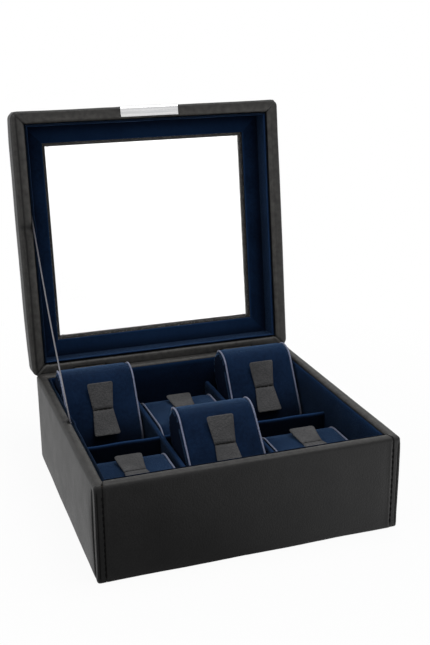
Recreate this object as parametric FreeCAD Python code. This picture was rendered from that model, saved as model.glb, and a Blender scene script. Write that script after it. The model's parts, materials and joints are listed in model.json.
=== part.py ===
import FreeCAD, Part
import math
import os

# Watch box for six watches: a leather-covered base with six compartments, each holding a piped
# velvet cushion, and a lid with a glass window on two butt hinges, held open by a ribbon.
# Millimetres. X is the width, Y runs from the front to the rear, Z is up from the underside.

# Outside of the box with its lid shut
BOX_WIDTH = 210.0
BOX_DEPTH = 200.0
BASE_HEIGHT = 68.0
LID_HEIGHT = 25.0
PARTING_GAP = 0.4

# The lid as it stands open, from shut
LID_OPEN_ANGLE = 97.6

# Layers of the walls: board, leather round both faces and the rim, velvet lining card inside
BOARD = 5.7
LEATHER = 1.0
LINING = 2.0
FLOOR_BOARD = 6.0
LINING_DROP = 1.0
LEATHER_FLANGE = 14.0
LEATHER_TURN_IN = 12.0
SHEET_GAP = 0.3
BOARD_CLEARANCE = 0.1

# Rounding of the boards, which the leather follows one thickness further out
BOARD_RIM_OUTER_RADIUS = 1.2
BOARD_RIM_INNER_RADIUS = 1.6
BOARD_BOTTOM_RADIUS = 1.5
BOARD_FRONT_CORNER_RADIUS = 0.5
BOARD_REAR_CORNER_RADIUS = 4.0
LINING_EDGE_RADIUS = 1.4

# Sewn seam that joins the front cover to the wrapped cover
SEAM_INSET = 4.5
SEAM_GAP = 0.4

# Lid frame, glass and name plate. The lid stands out past the base, apart from its hinged side
LID_OVERHANG = 2.0
LID_WINDOW_MARGIN = 25.25
LID_BAND_BOARD = 2.0
LID_BOARD_EDGE_RADIUS = 9.0
LID_BOARD_CORNER_RADIUS = 4.0
WINDOW_EDGE_RADIUS = 1.2
WINDOW_CORNER_RADIUS = 2.5
GLASS = 2.0
FRAME_LINING_SETBACK = 1.7
PLATE_WIDTH = 46.0
PLATE_THICKNESS = 0.8
PLATE_RIM_REACH = 8.0
PLATE_FACE_HEIGHT = 14.0

# Butt hinges, let into the boards under the leather of the rims
HINGE_FROM_SIDE = 43.0
HINGE_LENGTH = 24.0
HINGE_LEAF = 1.0
HINGE_LEAF_REACH = 5.2
HINGE_AXIS_INSET = 1.0
KNUCKLE_RADIUS = 2.0
KNUCKLE_GAP = 0.2
KNUCKLE_CLEARANCE = 0.4
PIN_RADIUS = 0.9
PIN_CLEARANCE = 0.05

# Ribbon that stops the lid, tucked behind the left linings of the base and the lid
RIBBON_WIDTH = 6.0
RIBBON_THICKNESS = 0.6
RIBBON_TUCK = 9.0
RIBBON_CLEARANCE = 0.1
RIBBON_BASE_Y = 2.0
RIBBON_LID_REACH = 115.7

# Compartments
DIVIDER = 4.0
DIVIDER_HEIGHT = 38.0
DIVIDER_EDGE_RADIUS = 1.8
DIVIDER_CLEARANCE = 0.15

# Cushions: a round-ended body with a hoop of piping round each side, and a waisted tab on its face
CUSHION_SIDE_GAP = 1.1
CUSHION_END_GAP = 6.65
CUSHION_RADIUS = 17.5
FRONT_CUSHION_TILT = 48.0
REAR_CUSHION_TILT = 59.0
CUSHION_REST_GAP = 0.3
PIPING_WIDTH = 2.0
PIPING_RISE = 1.0
PIPING_FACETS = 6
END_PANEL_RECESS = 0.6
TAB_LENGTH = 40.0
TAB_END_WIDTH = 20.0
TAB_WAIST_WIDTH = 15.3
TAB_THICKNESS = 1.8
TAB_LIFT = 2.0
TAB_CORNER_RADIUS = 3.0

# Sizes that follow from the ones above
WALL = BOARD + 2 * LEATHER
INSIDE_X = BOX_WIDTH / 2 - WALL
INSIDE_Y = BOX_DEPTH / 2 - WALL
LINED_X = INSIDE_X - LINING
LINED_Y = INSIDE_Y - LINING
FLOOR_BOARD_TOP = LEATHER + FLOOR_BOARD
FLOOR_TOP = FLOOR_BOARD_TOP + LINING
LINING_TOP = BASE_HEIGHT - LINING_DROP
LID_RIM = BASE_HEIGHT + PARTING_GAP
LID_BAND_UNDERSIDE = LID_HEIGHT - LEATHER - LID_BAND_BOARD
GLASS_UNDERSIDE = LID_BAND_UNDERSIDE - GLASS
FRAME_UNDERSIDE = GLASS_UNDERSIDE - LINING
BOX_HEIGHT = LID_RIM + LID_HEIGHT
AXIS_Y = BOX_DEPTH / 2 - HINGE_AXIS_INSET
AXIS_Z = BASE_HEIGHT + PARTING_GAP / 2
HINGE_OFFSET = BOX_WIDTH / 2 - HINGE_FROM_SIDE
LEAF_TOP = BASE_HEIGHT - LEATHER
LEAF_UNDERSIDE = LEAF_TOP - HINGE_LEAF
COMPARTMENT_WIDTH = (2 * LINED_X - 2 * DIVIDER) / 3
COMPARTMENT_DEPTH = (2 * LINED_Y - DIVIDER) / 2
COLUMN_PITCH = COMPARTMENT_WIDTH + DIVIDER
ROW_OFFSET = (COMPARTMENT_DEPTH + DIVIDER) / 2
DIVIDER_TOP = FLOOR_TOP + DIVIDER_HEIGHT
CUSHION_WIDTH = COMPARTMENT_WIDTH - 2 * CUSHION_SIDE_GAP
CUSHION_LENGTH = COMPARTMENT_DEPTH - 2 * CUSHION_END_GAP
CUSHION_REACH = CUSHION_RADIUS + PIPING_RISE
CUSHION_SPAN = CUSHION_LENGTH - 2 * CUSHION_RADIUS

ORIGIN = FreeCAD.Vector(0, 0, 0)
RIGHT = FreeCAD.Vector(1, 0, 0)
UP = FreeCAD.Vector(0, 0, 1)
SIDES = ("front", "right", "rear", "left")
SMALLEST_EDGE = 1e-6


def rounded_face(corners, place):
    """A flat face round a polygon whose corners are (a, b, radius), with place(a, b) in space."""
    points = [place(a, b) for a, b, radius in corners]
    edges = []
    starts = []
    ends = []
    for index, (a, b, radius) in enumerate(corners):
        point = points[index]
        if radius <= 0:
            starts.append(point)
            ends.append(point)
            edges.append(None)
            continue
        back = (points[index - 1] - point).normalize()
        ahead = (points[(index + 1) % len(points)] - point).normalize()
        half_angle = back.getAngle(ahead) / 2
        tangent = radius / math.tan(half_angle)
        middle = point + (back + ahead).normalize() * (radius / math.sin(half_angle) - radius)
        starts.append(point + back * tangent)
        ends.append(point + ahead * tangent)
        edges.append(Part.Arc(starts[-1], middle, ends[-1]).toShape())
    outline = []
    for index, arc in enumerate(edges):
        if (ends[index - 1] - starts[index]).Length > SMALLEST_EDGE:
            outline.append(Part.LineSegment(ends[index - 1], starts[index]).toShape())
        if arc is not None:
            outline.append(arc)
    return Part.Face(Part.Wire(Part.__sortEdges__(outline)))


def block(x_low, x_high, y_low, y_high, z_low, z_high):
    """A plain box between two corners."""
    corner = FreeCAD.Vector(x_low, y_low, z_low)
    return Part.makeBox(x_high - x_low, y_high - y_low, z_high - z_low, corner)


def slab(half_x, half_y, z_low, z_high, radii=(0, 0, 0, 0)):
    """A rectangular plate centred on the box, with corner radii from front left anticlockwise."""
    corners = [
        (-half_x, -half_y, radii[0]),
        (half_x, -half_y, radii[1]),
        (half_x, half_y, radii[2]),
        (-half_x, half_y, radii[3]),
    ]
    face = rounded_face(corners, lambda x, y: FreeCAD.Vector(x, y, z_low))
    return face.extrude(UP * (z_high - z_low))


def mitred_sides(sections, plan=None):
    """Four lengths of wall, each with its section (inward, up) of the outside of the base, mitred at
    the corners and trimmed to a plan."""
    inward = [corner[0] for section in sections.values() for corner in section]
    outer = min(inward)
    mitre = max(inward)
    lengths = {}
    for turn, side in enumerate(SIDES):
        length, reach = (BOX_WIDTH, BOX_DEPTH) if turn % 2 == 0 else (BOX_DEPTH, BOX_WIDTH)
        half = length / 2
        front = -reach / 2
        face = rounded_face(sections[side], lambda d, z: FreeCAD.Vector(outer - half, front + d, z))
        wedge_corners = [
            (outer - half, front + outer, 0),
            (half - outer, front + outer, 0),
            (half - mitre, front + mitre, 0),
            (mitre - half, front + mitre, 0),
        ]
        wedge = rounded_face(wedge_corners, lambda x, y: FreeCAD.Vector(x, y, 0))
        solid = face.extrude(RIGHT * (length - 2 * outer)).common(wedge.extrude(UP * BOX_HEIGHT))
        solid.rotate(ORIGIN, UP, 90 * turn)
        lengths[side] = solid.common(plan) if plan else solid
    return lengths


def open_lid(shape):
    """The same shape turned with the lid from shut to standing open."""
    opened = shape.copy()
    opened.rotate(FreeCAD.Vector(0, AXIS_Y, AXIS_Z), RIGHT * -1, LID_OPEN_ANGLE)
    return opened


def base_walls():
    """Wall boards of the base and the leather round them, one of each to a side."""
    board_face = WALL - LEATHER
    wrapped = [
        (0, 0, BOARD_BOTTOM_RADIUS + LEATHER),
        (0, BASE_HEIGHT, BOARD_RIM_OUTER_RADIUS + LEATHER),
        (WALL, BASE_HEIGHT, BOARD_RIM_INNER_RADIUS + LEATHER),
        (WALL, BASE_HEIGHT - LEATHER_FLANGE, 0),
        (board_face, BASE_HEIGHT - LEATHER_FLANGE, 0),
        (board_face, LEATHER, 0),
        (LEATHER_TURN_IN, LEATHER, 0),
        (LEATHER_TURN_IN, 0, 0),
    ]
    bare = [
        (LEATHER, LEATHER, BOARD_BOTTOM_RADIUS),
        (LEATHER, BASE_HEIGHT - LEATHER, BOARD_RIM_OUTER_RADIUS),
        (board_face, BASE_HEIGHT - LEATHER, BOARD_RIM_INNER_RADIUS),
        (board_face, LEATHER, 0),
    ]
    bare_radii = [BOARD_FRONT_CORNER_RADIUS] * 2 + [BOARD_REAR_CORNER_RADIUS] * 2
    wrapped_radii = [radius + LEATHER for radius in bare_radii]
    outer_plan = slab(BOX_WIDTH / 2, BOX_DEPTH / 2, 0, BASE_HEIGHT, wrapped_radii)
    board_plan = slab(BOX_WIDTH / 2 - LEATHER, BOX_DEPTH / 2 - LEATHER, 0, BASE_HEIGHT, bare_radii)
    boards = mitred_sides(dict.fromkeys(SIDES, bare), board_plan)
    walls = mitred_sides(dict.fromkeys(SIDES, wrapped), outer_plan)
    skins = {side: walls[side].cut(boards[side]) for side in SIDES}
    return boards, skins


def base_covers(skins):
    """The front cover, and the cover wrapped round the other sides to a seam on the front face."""
    seam = BOX_WIDTH / 2 - SEAM_INSET
    depth = (-BOX_DEPTH / 2, LEATHER + LEATHER_TURN_IN - BOX_DEPTH / 2)
    cover_room = block(-seam + SEAM_GAP / 2, seam - SEAM_GAP / 2, *depth, 0, BASE_HEIGHT)
    seam_room = block(-seam - SEAM_GAP / 2, seam + SEAM_GAP / 2, *depth, 0, BASE_HEIGHT)
    front_ends = skins["front"].cut(seam_room)
    wrapped = skins["left"].multiFuse([skins["rear"], skins["right"], front_ends])
    return skins["front"].common(cover_room), wrapped.removeSplitter()


def base_linings():
    """Velvet-covered cards that stand against the inside of the base walls."""
    section = [
        (WALL, FLOOR_BOARD_TOP, 0),
        (WALL, LINING_TOP, 0),
        (WALL + LINING, LINING_TOP, LINING_EDGE_RADIUS),
        (WALL + LINING, FLOOR_BOARD_TOP, 0),
    ]
    return mitred_sides(dict.fromkeys(SIDES, section))


def divider(half_length):
    """A velvet-covered divider card along X through the middle of the box, round along its top."""
    half = DIVIDER / 2
    section = [
        (-half, FLOOR_TOP, 0),
        (-half, DIVIDER_TOP, DIVIDER_EDGE_RADIUS),
        (half, DIVIDER_TOP, DIVIDER_EDGE_RADIUS),
        (half, FLOOR_TOP, 0),
    ]
    face = rounded_face(section, lambda y, z: FreeCAD.Vector(-half_length, y, z))
    return face.extrude(RIGHT * (2 * half_length))


def dividers():
    """One divider between the rows and two between the columns, half-lapped where they cross."""
    half_slot = DIVIDER / 2 + DIVIDER_CLEARANCE
    lap = (FLOOR_TOP + DIVIDER_TOP) / 2
    row = divider(LINED_X - DIVIDER_CLEARANCE)
    columns = {}
    for side, sign in (("left", -1), ("right", 1)):
        x = sign * COLUMN_PITCH / 2
        slot = block(x - half_slot, x + half_slot, -DIVIDER, DIVIDER, lap, DIVIDER_TOP)
        row = row.cut(slot)
        column = divider(LINED_Y - DIVIDER_CLEARANCE)
        column.rotate(ORIGIN, UP, 90)
        column.translate(RIGHT * x)
        lap_top = lap + DIVIDER_CLEARANCE
        columns[side] = column.cut(block(x - DIVIDER, x + DIVIDER, -half_slot, half_slot, 0, lap_top))
    return row, columns


def lid_section(side, skin):
    """Section of a lid side, with skin 0 for leather and board and one leather for the board alone."""
    bend = LEATHER - skin
    outer = skin if side == "rear" else skin - LID_OVERHANG
    board_face = WALL - LEATHER
    window_edge = LID_WINDOW_MARGIN - skin
    rim = LID_RIM + skin
    top = LID_RIM + LID_HEIGHT - skin
    band = LID_RIM + LID_BAND_UNDERSIDE
    flange = LID_RIM + LEATHER_FLANGE
    inner_rim = [
        (board_face, flange, 0),
        (WALL, flange, 0),
        (WALL, rim, BOARD_RIM_INNER_RADIUS + bend),
    ]
    bare_rim = [(board_face, rim, BOARD_RIM_INNER_RADIUS)]
    return [
        (outer, rim, BOARD_RIM_OUTER_RADIUS + bend),
        (outer, top, LID_BOARD_EDGE_RADIUS + bend),
        (window_edge, top, 0 if skin else WINDOW_EDGE_RADIUS),
        (window_edge, band, 0),
        (board_face, band, 0),
    ] + (bare_rim if skin else inner_rim)


def lid_sides():
    """Rails of the lid, the top frame between them, and the leather round both, in mitred lengths."""
    bare_radii = [LID_BOARD_CORNER_RADIUS] * 4
    wrapped_radii = [LID_BOARD_CORNER_RADIUS + LEATHER] * 4
    half_x = BOX_WIDTH / 2 + LID_OVERHANG
    half_y = (BOX_DEPTH + LID_OVERHANG) / 2
    outer_plan = slab(half_x, half_y, 0, BOX_HEIGHT, wrapped_radii)
    board_plan = slab(half_x - LEATHER, half_y - LEATHER, 0, BOX_HEIGHT, bare_radii)
    for plan in (outer_plan, board_plan):
        plan.translate(FreeCAD.Vector(0, -LID_OVERHANG / 2, 0))
    bare = mitred_sides({side: lid_section(side, LEATHER) for side in SIDES}, board_plan)
    walls = mitred_sides({side: lid_section(side, 0) for side in SIDES}, outer_plan)
    covers = {side: walls[side].cut(bare[side]) for side in SIDES}
    between = slab(INSIDE_X + LEATHER, INSIDE_Y + LEATHER, 0, BOX_HEIGHT)
    rails = {side: bare[side].cut(between) for side in SIDES}
    strips = [bare[side].common(between) for side in SIDES]
    top_frame = strips[0].multiFuse(strips[1:]).removeSplitter()
    return rails, top_frame, covers


def lid_plate():
    """Bare metal plate bent round the front rim of the lid, sunk in the leather by its thickness."""
    outside = [
        (0, LID_RIM, BOARD_RIM_OUTER_RADIUS + LEATHER),
        (0, LID_RIM + PLATE_FACE_HEIGHT, 0),
        (PLATE_THICKNESS, LID_RIM + PLATE_FACE_HEIGHT, 0),
        (PLATE_THICKNESS, LID_RIM + PLATE_THICKNESS, BOARD_RIM_OUTER_RADIUS + LEATHER - PLATE_THICKNESS),
        (PLATE_RIM_REACH, LID_RIM + PLATE_THICKNESS, 0),
        (PLATE_RIM_REACH, LID_RIM, 0),
    ]
    front = -BOX_DEPTH / 2 - LID_OVERHANG
    face = rounded_face(outside, lambda d, z: FreeCAD.Vector(-PLATE_WIDTH / 2, front + d, z))
    return face.extrude(RIGHT * PLATE_WIDTH)


def lid_linings():
    """Velvet-covered cards round the inside of the lid rim."""
    low = LID_RIM + LINING_DROP
    high = LID_RIM + FRAME_UNDERSIDE
    section = [
        (WALL, low, 0),
        (WALL, high, 0),
        (WALL + LINING, high, 0),
        (WALL + LINING, low, LINING_EDGE_RADIUS),
    ]
    return mitred_sides(dict.fromkeys(SIDES, section))


def lid_pane_and_frame():
    """The glass under the lid's leather frame, and the flat velvet frame that holds it up."""
    half_x = INSIDE_X + LEATHER - BOARD_CLEARANCE
    half_y = INSIDE_Y + LEATHER - BOARD_CLEARANCE
    low = LID_RIM + FRAME_UNDERSIDE
    middle = LID_RIM + GLASS_UNDERSIDE
    high = LID_RIM + LID_BAND_UNDERSIDE
    margin = LID_WINDOW_MARGIN - FRAME_LINING_SETBACK
    window_radii = [WINDOW_CORNER_RADIUS] * 4
    window = slab(BOX_WIDTH / 2 - margin, BOX_DEPTH / 2 - margin, low, middle, window_radii)
    return slab(half_x, half_y, middle, high), slab(half_x, half_y, low, middle).cut(window)


def flip_to_lid(shape):
    """The shape mirrored from the base rim to the lid rim across the parting plane."""
    return shape.mirror(FreeCAD.Vector(0, 0, AXIS_Z), UP)


def hinge_knuckle(x_low, x_high):
    """A stretch of hinge barrel on the hinge axis, with the web to the base leaf and the pin bore."""
    length = x_high - x_low
    start = FreeCAD.Vector(x_low, AXIS_Y, AXIS_Z)
    barrel = Part.makeCylinder(KNUCKLE_RADIUS, length, start, RIGHT)
    web_front = AXIS_Y - KNUCKLE_RADIUS - 2 * KNUCKLE_GAP
    web = block(x_low, x_high, web_front, AXIS_Y, LEAF_UNDERSIDE, LEAF_TOP)
    bore = Part.makeCylinder(PIN_RADIUS + PIN_CLEARANCE, length, start, RIGHT)
    return barrel.fuse(web).cut(bore)


def hinge_leaf(x, knuckles):
    """A hinge leaf in the base rim, under the leather, with its own knuckles."""
    half = HINGE_LENGTH / 2
    front = AXIS_Y - HINGE_LEAF_REACH
    back = AXIS_Y - KNUCKLE_RADIUS - KNUCKLE_GAP
    leaf = block(x - half, x + half, front, back, LEAF_UNDERSIDE, LEAF_TOP)
    for low, high in knuckles:
        leaf = leaf.fuse(hinge_knuckle(x + low, x + high))
    return leaf.removeSplitter()


def hinge_room(x):
    """What a hinge takes out of the base rim: the leaf and the barrel."""
    half = HINGE_LENGTH / 2 + KNUCKLE_GAP
    front = AXIS_Y - HINGE_LEAF_REACH - KNUCKLE_GAP
    room = block(x - half, x + half, front, AXIS_Y, LEAF_UNDERSIDE, LEAF_TOP)
    start = FreeCAD.Vector(x - half, AXIS_Y, AXIS_Z)
    return room.fuse(Part.makeCylinder(KNUCKLE_RADIUS + KNUCKLE_CLEARANCE, 2 * half, start, RIGHT))


def ribbon(growth):
    """The flat ribbon, straight from the base to the open lid, thicker all round by a growth."""
    low = FreeCAD.Vector(0, RIBBON_BASE_Y, LINING_TOP)
    shut_end = Part.Vertex(0, BOX_DEPTH / 2 - RIBBON_LID_REACH, LID_RIM + LINING_DROP)
    high = open_lid(shut_end).Point
    run = (high - low).normalize()
    across = RIGHT.cross(run)
    start = low - run * (RIBBON_TUCK + growth)
    length = (high - low).Length + 2 * (RIBBON_TUCK + growth)
    half = RIBBON_WIDTH / 2 + growth
    edge = FreeCAD.Vector(-INSIDE_X - growth, 0, 0)
    corners = [
        start - across * half + edge,
        start + across * half + edge,
        start + across * half + run * length + edge,
        start - across * half + run * length + edge,
    ]
    face = Part.Face(Part.makePolygon(corners + corners[:1]))
    return face.extrude(RIGHT * (RIBBON_THICKNESS + 2 * growth))


def cushion_pad():
    """Cushion body: flat top and bottom, fully round front and rear ends, flat end panels."""
    half = CUSHION_LENGTH / 2
    radius = CUSHION_RADIUS
    half_width = CUSHION_WIDTH / 2 - END_PANEL_RECESS
    corners = [
        (-half, -radius, radius),
        (half, -radius, radius),
        (half, radius, radius),
        (-half, radius, radius),
    ]
    face = rounded_face(corners, lambda y, z: FreeCAD.Vector(-half_width, y, z))
    return face.extrude(RIGHT * (2 * half_width))


def faceted_hoop(radius):
    """Solid with the outline of the cushion, its round ends as facets with corners at a radius."""
    points = []
    for step in range(2 * (PIPING_FACETS + 1)):
        end, corner = divmod(step, PIPING_FACETS + 1)
        turn = math.pi * (corner / PIPING_FACETS + end)
        y = (0.5 - end) * CUSHION_SPAN + radius * math.sin(turn)
        points.append((y, radius * math.cos(turn), 0))
    face = rounded_face(points, lambda y, z: FreeCAD.Vector(-CUSHION_WIDTH / 2, y, z))
    return face.extrude(RIGHT * CUSHION_WIDTH)


def cushion_piping():
    """Two hoops of piping round the cushion body, one along the edge of each end panel."""
    facet_half_angle = math.pi / PIPING_FACETS / 2
    ring = faceted_hoop(CUSHION_REACH).cut(faceted_hoop(CUSHION_RADIUS / math.cos(facet_half_angle)))
    inner = CUSHION_WIDTH / 2 - PIPING_WIDTH
    between = block(-inner, inner, -CUSHION_LENGTH, CUSHION_LENGTH, -CUSHION_LENGTH, CUSHION_LENGTH)
    return ring.cut(between)


def cushion_tab():
    """Waisted leather tab sewn down at its waist, its two ends lifting off the cushion face."""
    half = TAB_LENGTH / 2
    end = TAB_END_WIDTH / 2
    waist = TAB_WAIST_WIDTH / 2
    outline = [
        (-end, -half, TAB_CORNER_RADIUS),
        (end, -half, TAB_CORNER_RADIUS),
        (waist, 0, 0),
        (end, half, TAB_CORNER_RADIUS),
        (-end, half, TAB_CORNER_RADIUS),
        (-waist, 0, 0),
    ]
    flat = rounded_face(outline, lambda x, y: FreeCAD.Vector(x, y, CUSHION_RADIUS))
    bend = [
        (-half, TAB_LIFT, 0),
        (0, 0, 0),
        (half, TAB_LIFT, 0),
        (half, TAB_LIFT + TAB_THICKNESS, 0),
        (0, TAB_THICKNESS, 0),
        (-half, TAB_LIFT + TAB_THICKNESS, 0),
    ]
    side = rounded_face(bend, lambda y, z: FreeCAD.Vector(-end, y, CUSHION_RADIUS + z))
    strip = side.extrude(RIGHT * TAB_END_WIDTH)
    return flat.extrude(UP * (TAB_LIFT + TAB_THICKNESS)).common(strip)


def cushion_place(row, column):
    """Centre and tilt of a cushion: three lie flat, the other three stand and lean back."""
    x = column * COLUMN_PITCH
    low = FLOOR_TOP + CUSHION_REACH + CUSHION_REST_GAP
    stands = (row == "rear") == (column != 0)
    if not stands:
        sign = 1 if row == "rear" else -1
        return FreeCAD.Vector(x, sign * ROW_OFFSET, low), 0
    degrees = REAR_CUSHION_TILT if row == "rear" else FRONT_CUSHION_TILT
    tilt = math.radians(degrees)
    run_y = CUSHION_SPAN * math.cos(tilt)
    run_z = CUSHION_SPAN * math.sin(tilt)
    if row == "rear":
        foot_y = LINED_Y - CUSHION_REACH - CUSHION_REST_GAP - run_y
    else:
        corner_y = DIVIDER_EDGE_RADIUS - DIVIDER / 2
        corner_z = DIVIDER_TOP - DIVIDER_EDGE_RADIUS
        apart = CUSHION_REACH + DIVIDER_EDGE_RADIUS + CUSHION_REST_GAP
        foot_y = corner_y - (apart + (corner_z - low) * math.cos(tilt)) / math.sin(tilt)
    return FreeCAD.Vector(x, foot_y + run_y / 2, low + run_z / 2), degrees


nodes = {}

# Base
boards, skins = base_walls()
hinge_places = (("left", -HINGE_OFFSET), ("right", HINGE_OFFSET))
rooms = [hinge_room(x) for side, x in hinge_places]
front_cover, wrap_cover = base_covers(skins)
sheet_half_x = BOX_WIDTH / 2 - LEATHER_TURN_IN - SHEET_GAP
sheet_half_y = BOX_DEPTH / 2 - LEATHER_TURN_IN - SHEET_GAP
nodes["underside_sheet"] = slab(sheet_half_x, sheet_half_y, 0, LEATHER)
floor_half_x = INSIDE_X + LEATHER - BOARD_CLEARANCE
floor_half_y = INSIDE_Y + LEATHER - BOARD_CLEARANCE
nodes["floor_board"] = slab(floor_half_x, floor_half_y, LEATHER, FLOOR_BOARD_TOP)
boards["rear"] = boards["rear"].cut(rooms)
for side in SIDES:
    nodes[side + "_board"] = boards[side]
nodes["front_cover"] = front_cover
nodes["wrap_cover"] = wrap_cover.cut(rooms)
linings = base_linings()
ribbon_slot = ribbon(RIBBON_CLEARANCE)
linings["left"] = linings["left"].cut(ribbon_slot)
for side in SIDES:
    nodes[side + "_lining"] = linings[side]
nodes["floor_lining"] = slab(
    LINED_X - BOARD_CLEARANCE, LINED_Y - BOARD_CLEARANCE, FLOOR_BOARD_TOP, FLOOR_TOP
)
nodes["row_divider"], columns = dividers()
for side, column in columns.items():
    nodes[side + "_divider"] = column

# Lid, made shut and then turned open
rails, top_frame, covers = lid_sides()
plate = lid_plate()
lid_rooms = [flip_to_lid(room) for room in rooms]
rails["front"] = rails["front"].cut(plate)
covers["front"] = covers["front"].cut(plate)
rails["rear"] = rails["rear"].cut(lid_rooms)
covers["rear"] = covers["rear"].cut(lid_rooms)
lid_cards = lid_linings()
glass, frame_lining = lid_pane_and_frame()
for side in SIDES:
    nodes["lid_" + side + "_rail"] = open_lid(rails[side])
    nodes["lid_" + side + "_cover"] = open_lid(covers[side])
    nodes["lid_" + side + "_lining"] = open_lid(lid_cards[side])
nodes["lid_left_lining"] = nodes["lid_left_lining"].cut(ribbon_slot)
nodes["lid_top_frame"] = open_lid(top_frame)
nodes["lid_glass"] = open_lid(glass)
nodes["lid_frame_lining"] = open_lid(frame_lining)
nodes["lid_plate"] = open_lid(plate)

# Hinges: two outer knuckles on the base leaf, one middle knuckle on the lid leaf
knuckle = HINGE_LENGTH / 3
outer_knuckles = [(-HINGE_LENGTH / 2, -knuckle / 2), (knuckle / 2, HINGE_LENGTH / 2)]
middle_knuckle = [(KNUCKLE_GAP - knuckle / 2, knuckle / 2 - KNUCKLE_GAP)]
for side, x in hinge_places:
    nodes[side + "_hinge_base_leaf"] = hinge_leaf(x, outer_knuckles)
    nodes[side + "_hinge_lid_leaf"] = open_lid(flip_to_lid(hinge_leaf(x, middle_knuckle)))
    pin_start = FreeCAD.Vector(x - HINGE_LENGTH / 2, AXIS_Y, AXIS_Z)
    nodes[side + "_hinge_pin"] = Part.makeCylinder(PIN_RADIUS, HINGE_LENGTH, pin_start, RIGHT)

nodes["lid_ribbon"] = ribbon(0)

# Cushions
pieces = {"pad": cushion_pad(), "piping": cushion_piping(), "tab": cushion_tab()}
for row in ("front", "rear"):
    for column, name in ((-1, "left"), (0, "middle"), (1, "right")):
        centre, tilt = cushion_place(row, column)
        for piece, shape in pieces.items():
            placed = shape.copy()
            placed.rotate(ORIGIN, RIGHT, tilt)
            placed.translate(centre)
            nodes[row + "_" + name + "_" + piece] = placed

os.makedirs("parts", exist_ok=True)
for name, shape in nodes.items():
    shape.exportStep("parts/" + name + ".step")
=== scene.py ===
import json
import math

import bpy
import numpy as np
from mathutils import Matrix, Vector


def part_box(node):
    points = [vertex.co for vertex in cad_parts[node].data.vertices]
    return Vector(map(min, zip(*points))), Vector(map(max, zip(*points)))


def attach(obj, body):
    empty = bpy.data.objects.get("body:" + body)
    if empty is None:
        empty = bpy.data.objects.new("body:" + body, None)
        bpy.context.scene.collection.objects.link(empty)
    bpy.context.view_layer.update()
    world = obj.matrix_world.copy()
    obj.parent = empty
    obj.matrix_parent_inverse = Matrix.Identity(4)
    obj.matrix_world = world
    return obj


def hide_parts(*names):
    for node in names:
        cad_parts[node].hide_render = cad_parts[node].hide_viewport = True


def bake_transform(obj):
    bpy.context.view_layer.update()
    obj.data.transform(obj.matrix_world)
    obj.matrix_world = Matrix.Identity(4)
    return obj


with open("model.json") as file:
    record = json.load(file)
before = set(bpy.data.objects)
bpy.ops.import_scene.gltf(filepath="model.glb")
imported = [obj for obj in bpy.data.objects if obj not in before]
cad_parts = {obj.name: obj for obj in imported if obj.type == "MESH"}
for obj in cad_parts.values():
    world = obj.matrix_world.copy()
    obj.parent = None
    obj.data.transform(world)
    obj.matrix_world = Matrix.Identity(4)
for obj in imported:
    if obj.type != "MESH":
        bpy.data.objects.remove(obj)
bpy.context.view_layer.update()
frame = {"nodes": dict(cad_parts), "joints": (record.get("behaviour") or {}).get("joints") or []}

# The view: the open box from its front left, a little above the lid, as a catalogue shows it. The camera
# stands about 0.7 m away with a medium-long lens, so the uprights lean together only a little.
CAMERA_PLACE = Vector((-0.2163, -0.6487, 0.3554))
CAMERA_YAW = math.radians(19.12)
CAMERA_PITCH = math.radians(18.298)
CAMERA_ROLL = math.radians(-0.512)
SENSOR_HEIGHT = 36.0
FOCAL_LENGTH = 57.04

level = Vector((math.cos(CAMERA_YAW), -math.sin(CAMERA_YAW), 0))
ahead = Vector((math.sin(CAMERA_YAW), math.cos(CAMERA_YAW), 0)) * math.cos(CAMERA_PITCH)
ahead.z = -math.sin(CAMERA_PITCH)
upright = level.cross(ahead)
picture_right = level * math.cos(CAMERA_ROLL) + upright * math.sin(CAMERA_ROLL)
picture_up = upright * math.cos(CAMERA_ROLL) - level * math.sin(CAMERA_ROLL)
camera = bpy.data.objects.new("catalogue_view", bpy.data.cameras.new("catalogue_view"))
camera.data.lens = FOCAL_LENGTH
# The picture is upright, so the sensor's longer side is its height.
camera.data.sensor_width = SENSOR_HEIGHT
turn_to_view = Matrix((picture_right, picture_up, -ahead)).transposed()
camera.matrix_world = Matrix.Translation(CAMERA_PLACE) @ turn_to_view.to_4x4()
bpy.context.scene.collection.objects.link(camera)
bpy.context.scene.camera = camera
bpy.context.scene.view_settings.view_transform = "Standard"

# The studio: a pale table top that runs on past the picture, a white surround and large soft lamps. To
# the camera, and through glass, table and surround are white, and the table keeps a faint shadow. In what
# the leather mirrors, the table before the box grows brighter to the right, as under a lamp on that side.
TABLE_HALF_WIDTH = 3.0
TABLE_COLOUR = (0.8, 0.8, 0.8, 1)
TABLE_WHITENESS = 0.94
TABLE_SHADE_REACH = (0.16, 0.45)
GLARE_LEVELS = (0.25, 2.3)
GLARE_ACROSS = (-0.04, 0.18)
GLARE_END = (-0.13, -0.07)
SURROUND_LEVEL = 0.4
LAMP_AIM = Vector((0, 0.02, 0.08))
LAMPS = (
    ("top_lamp", (0.25, -0.1, 1.3), 0.8, 10.0),
    ("left_lamp", (-1.1, -0.15, 0.36), 0.55, 3.4),
)


def combine(tree, kind, first, second):
    """Two values added, multiplied or otherwise combined; either may be a number."""
    sums = tree.nodes.new("ShaderNodeMath")
    sums.operation = kind
    for socket, value in zip(sums.inputs, (first, second)):
        if isinstance(value, (int, float)):
            socket.default_value = value
        else:
            tree.links.new(value, socket)
    return sums.outputs[0]


def between(tree, value, low, high, start=0.0, end=1.0):
    """Goes from low to high as the value goes from start to end, and no further."""
    spread = tree.nodes.new("ShaderNodeMapRange")
    for words, limit in (("From Min", start), ("From Max", end), ("To Min", low), ("To Max", high)):
        spread.inputs[words].default_value = limit
    tree.links.new(value, spread.inputs["Value"])
    return spread.outputs["Result"]


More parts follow.
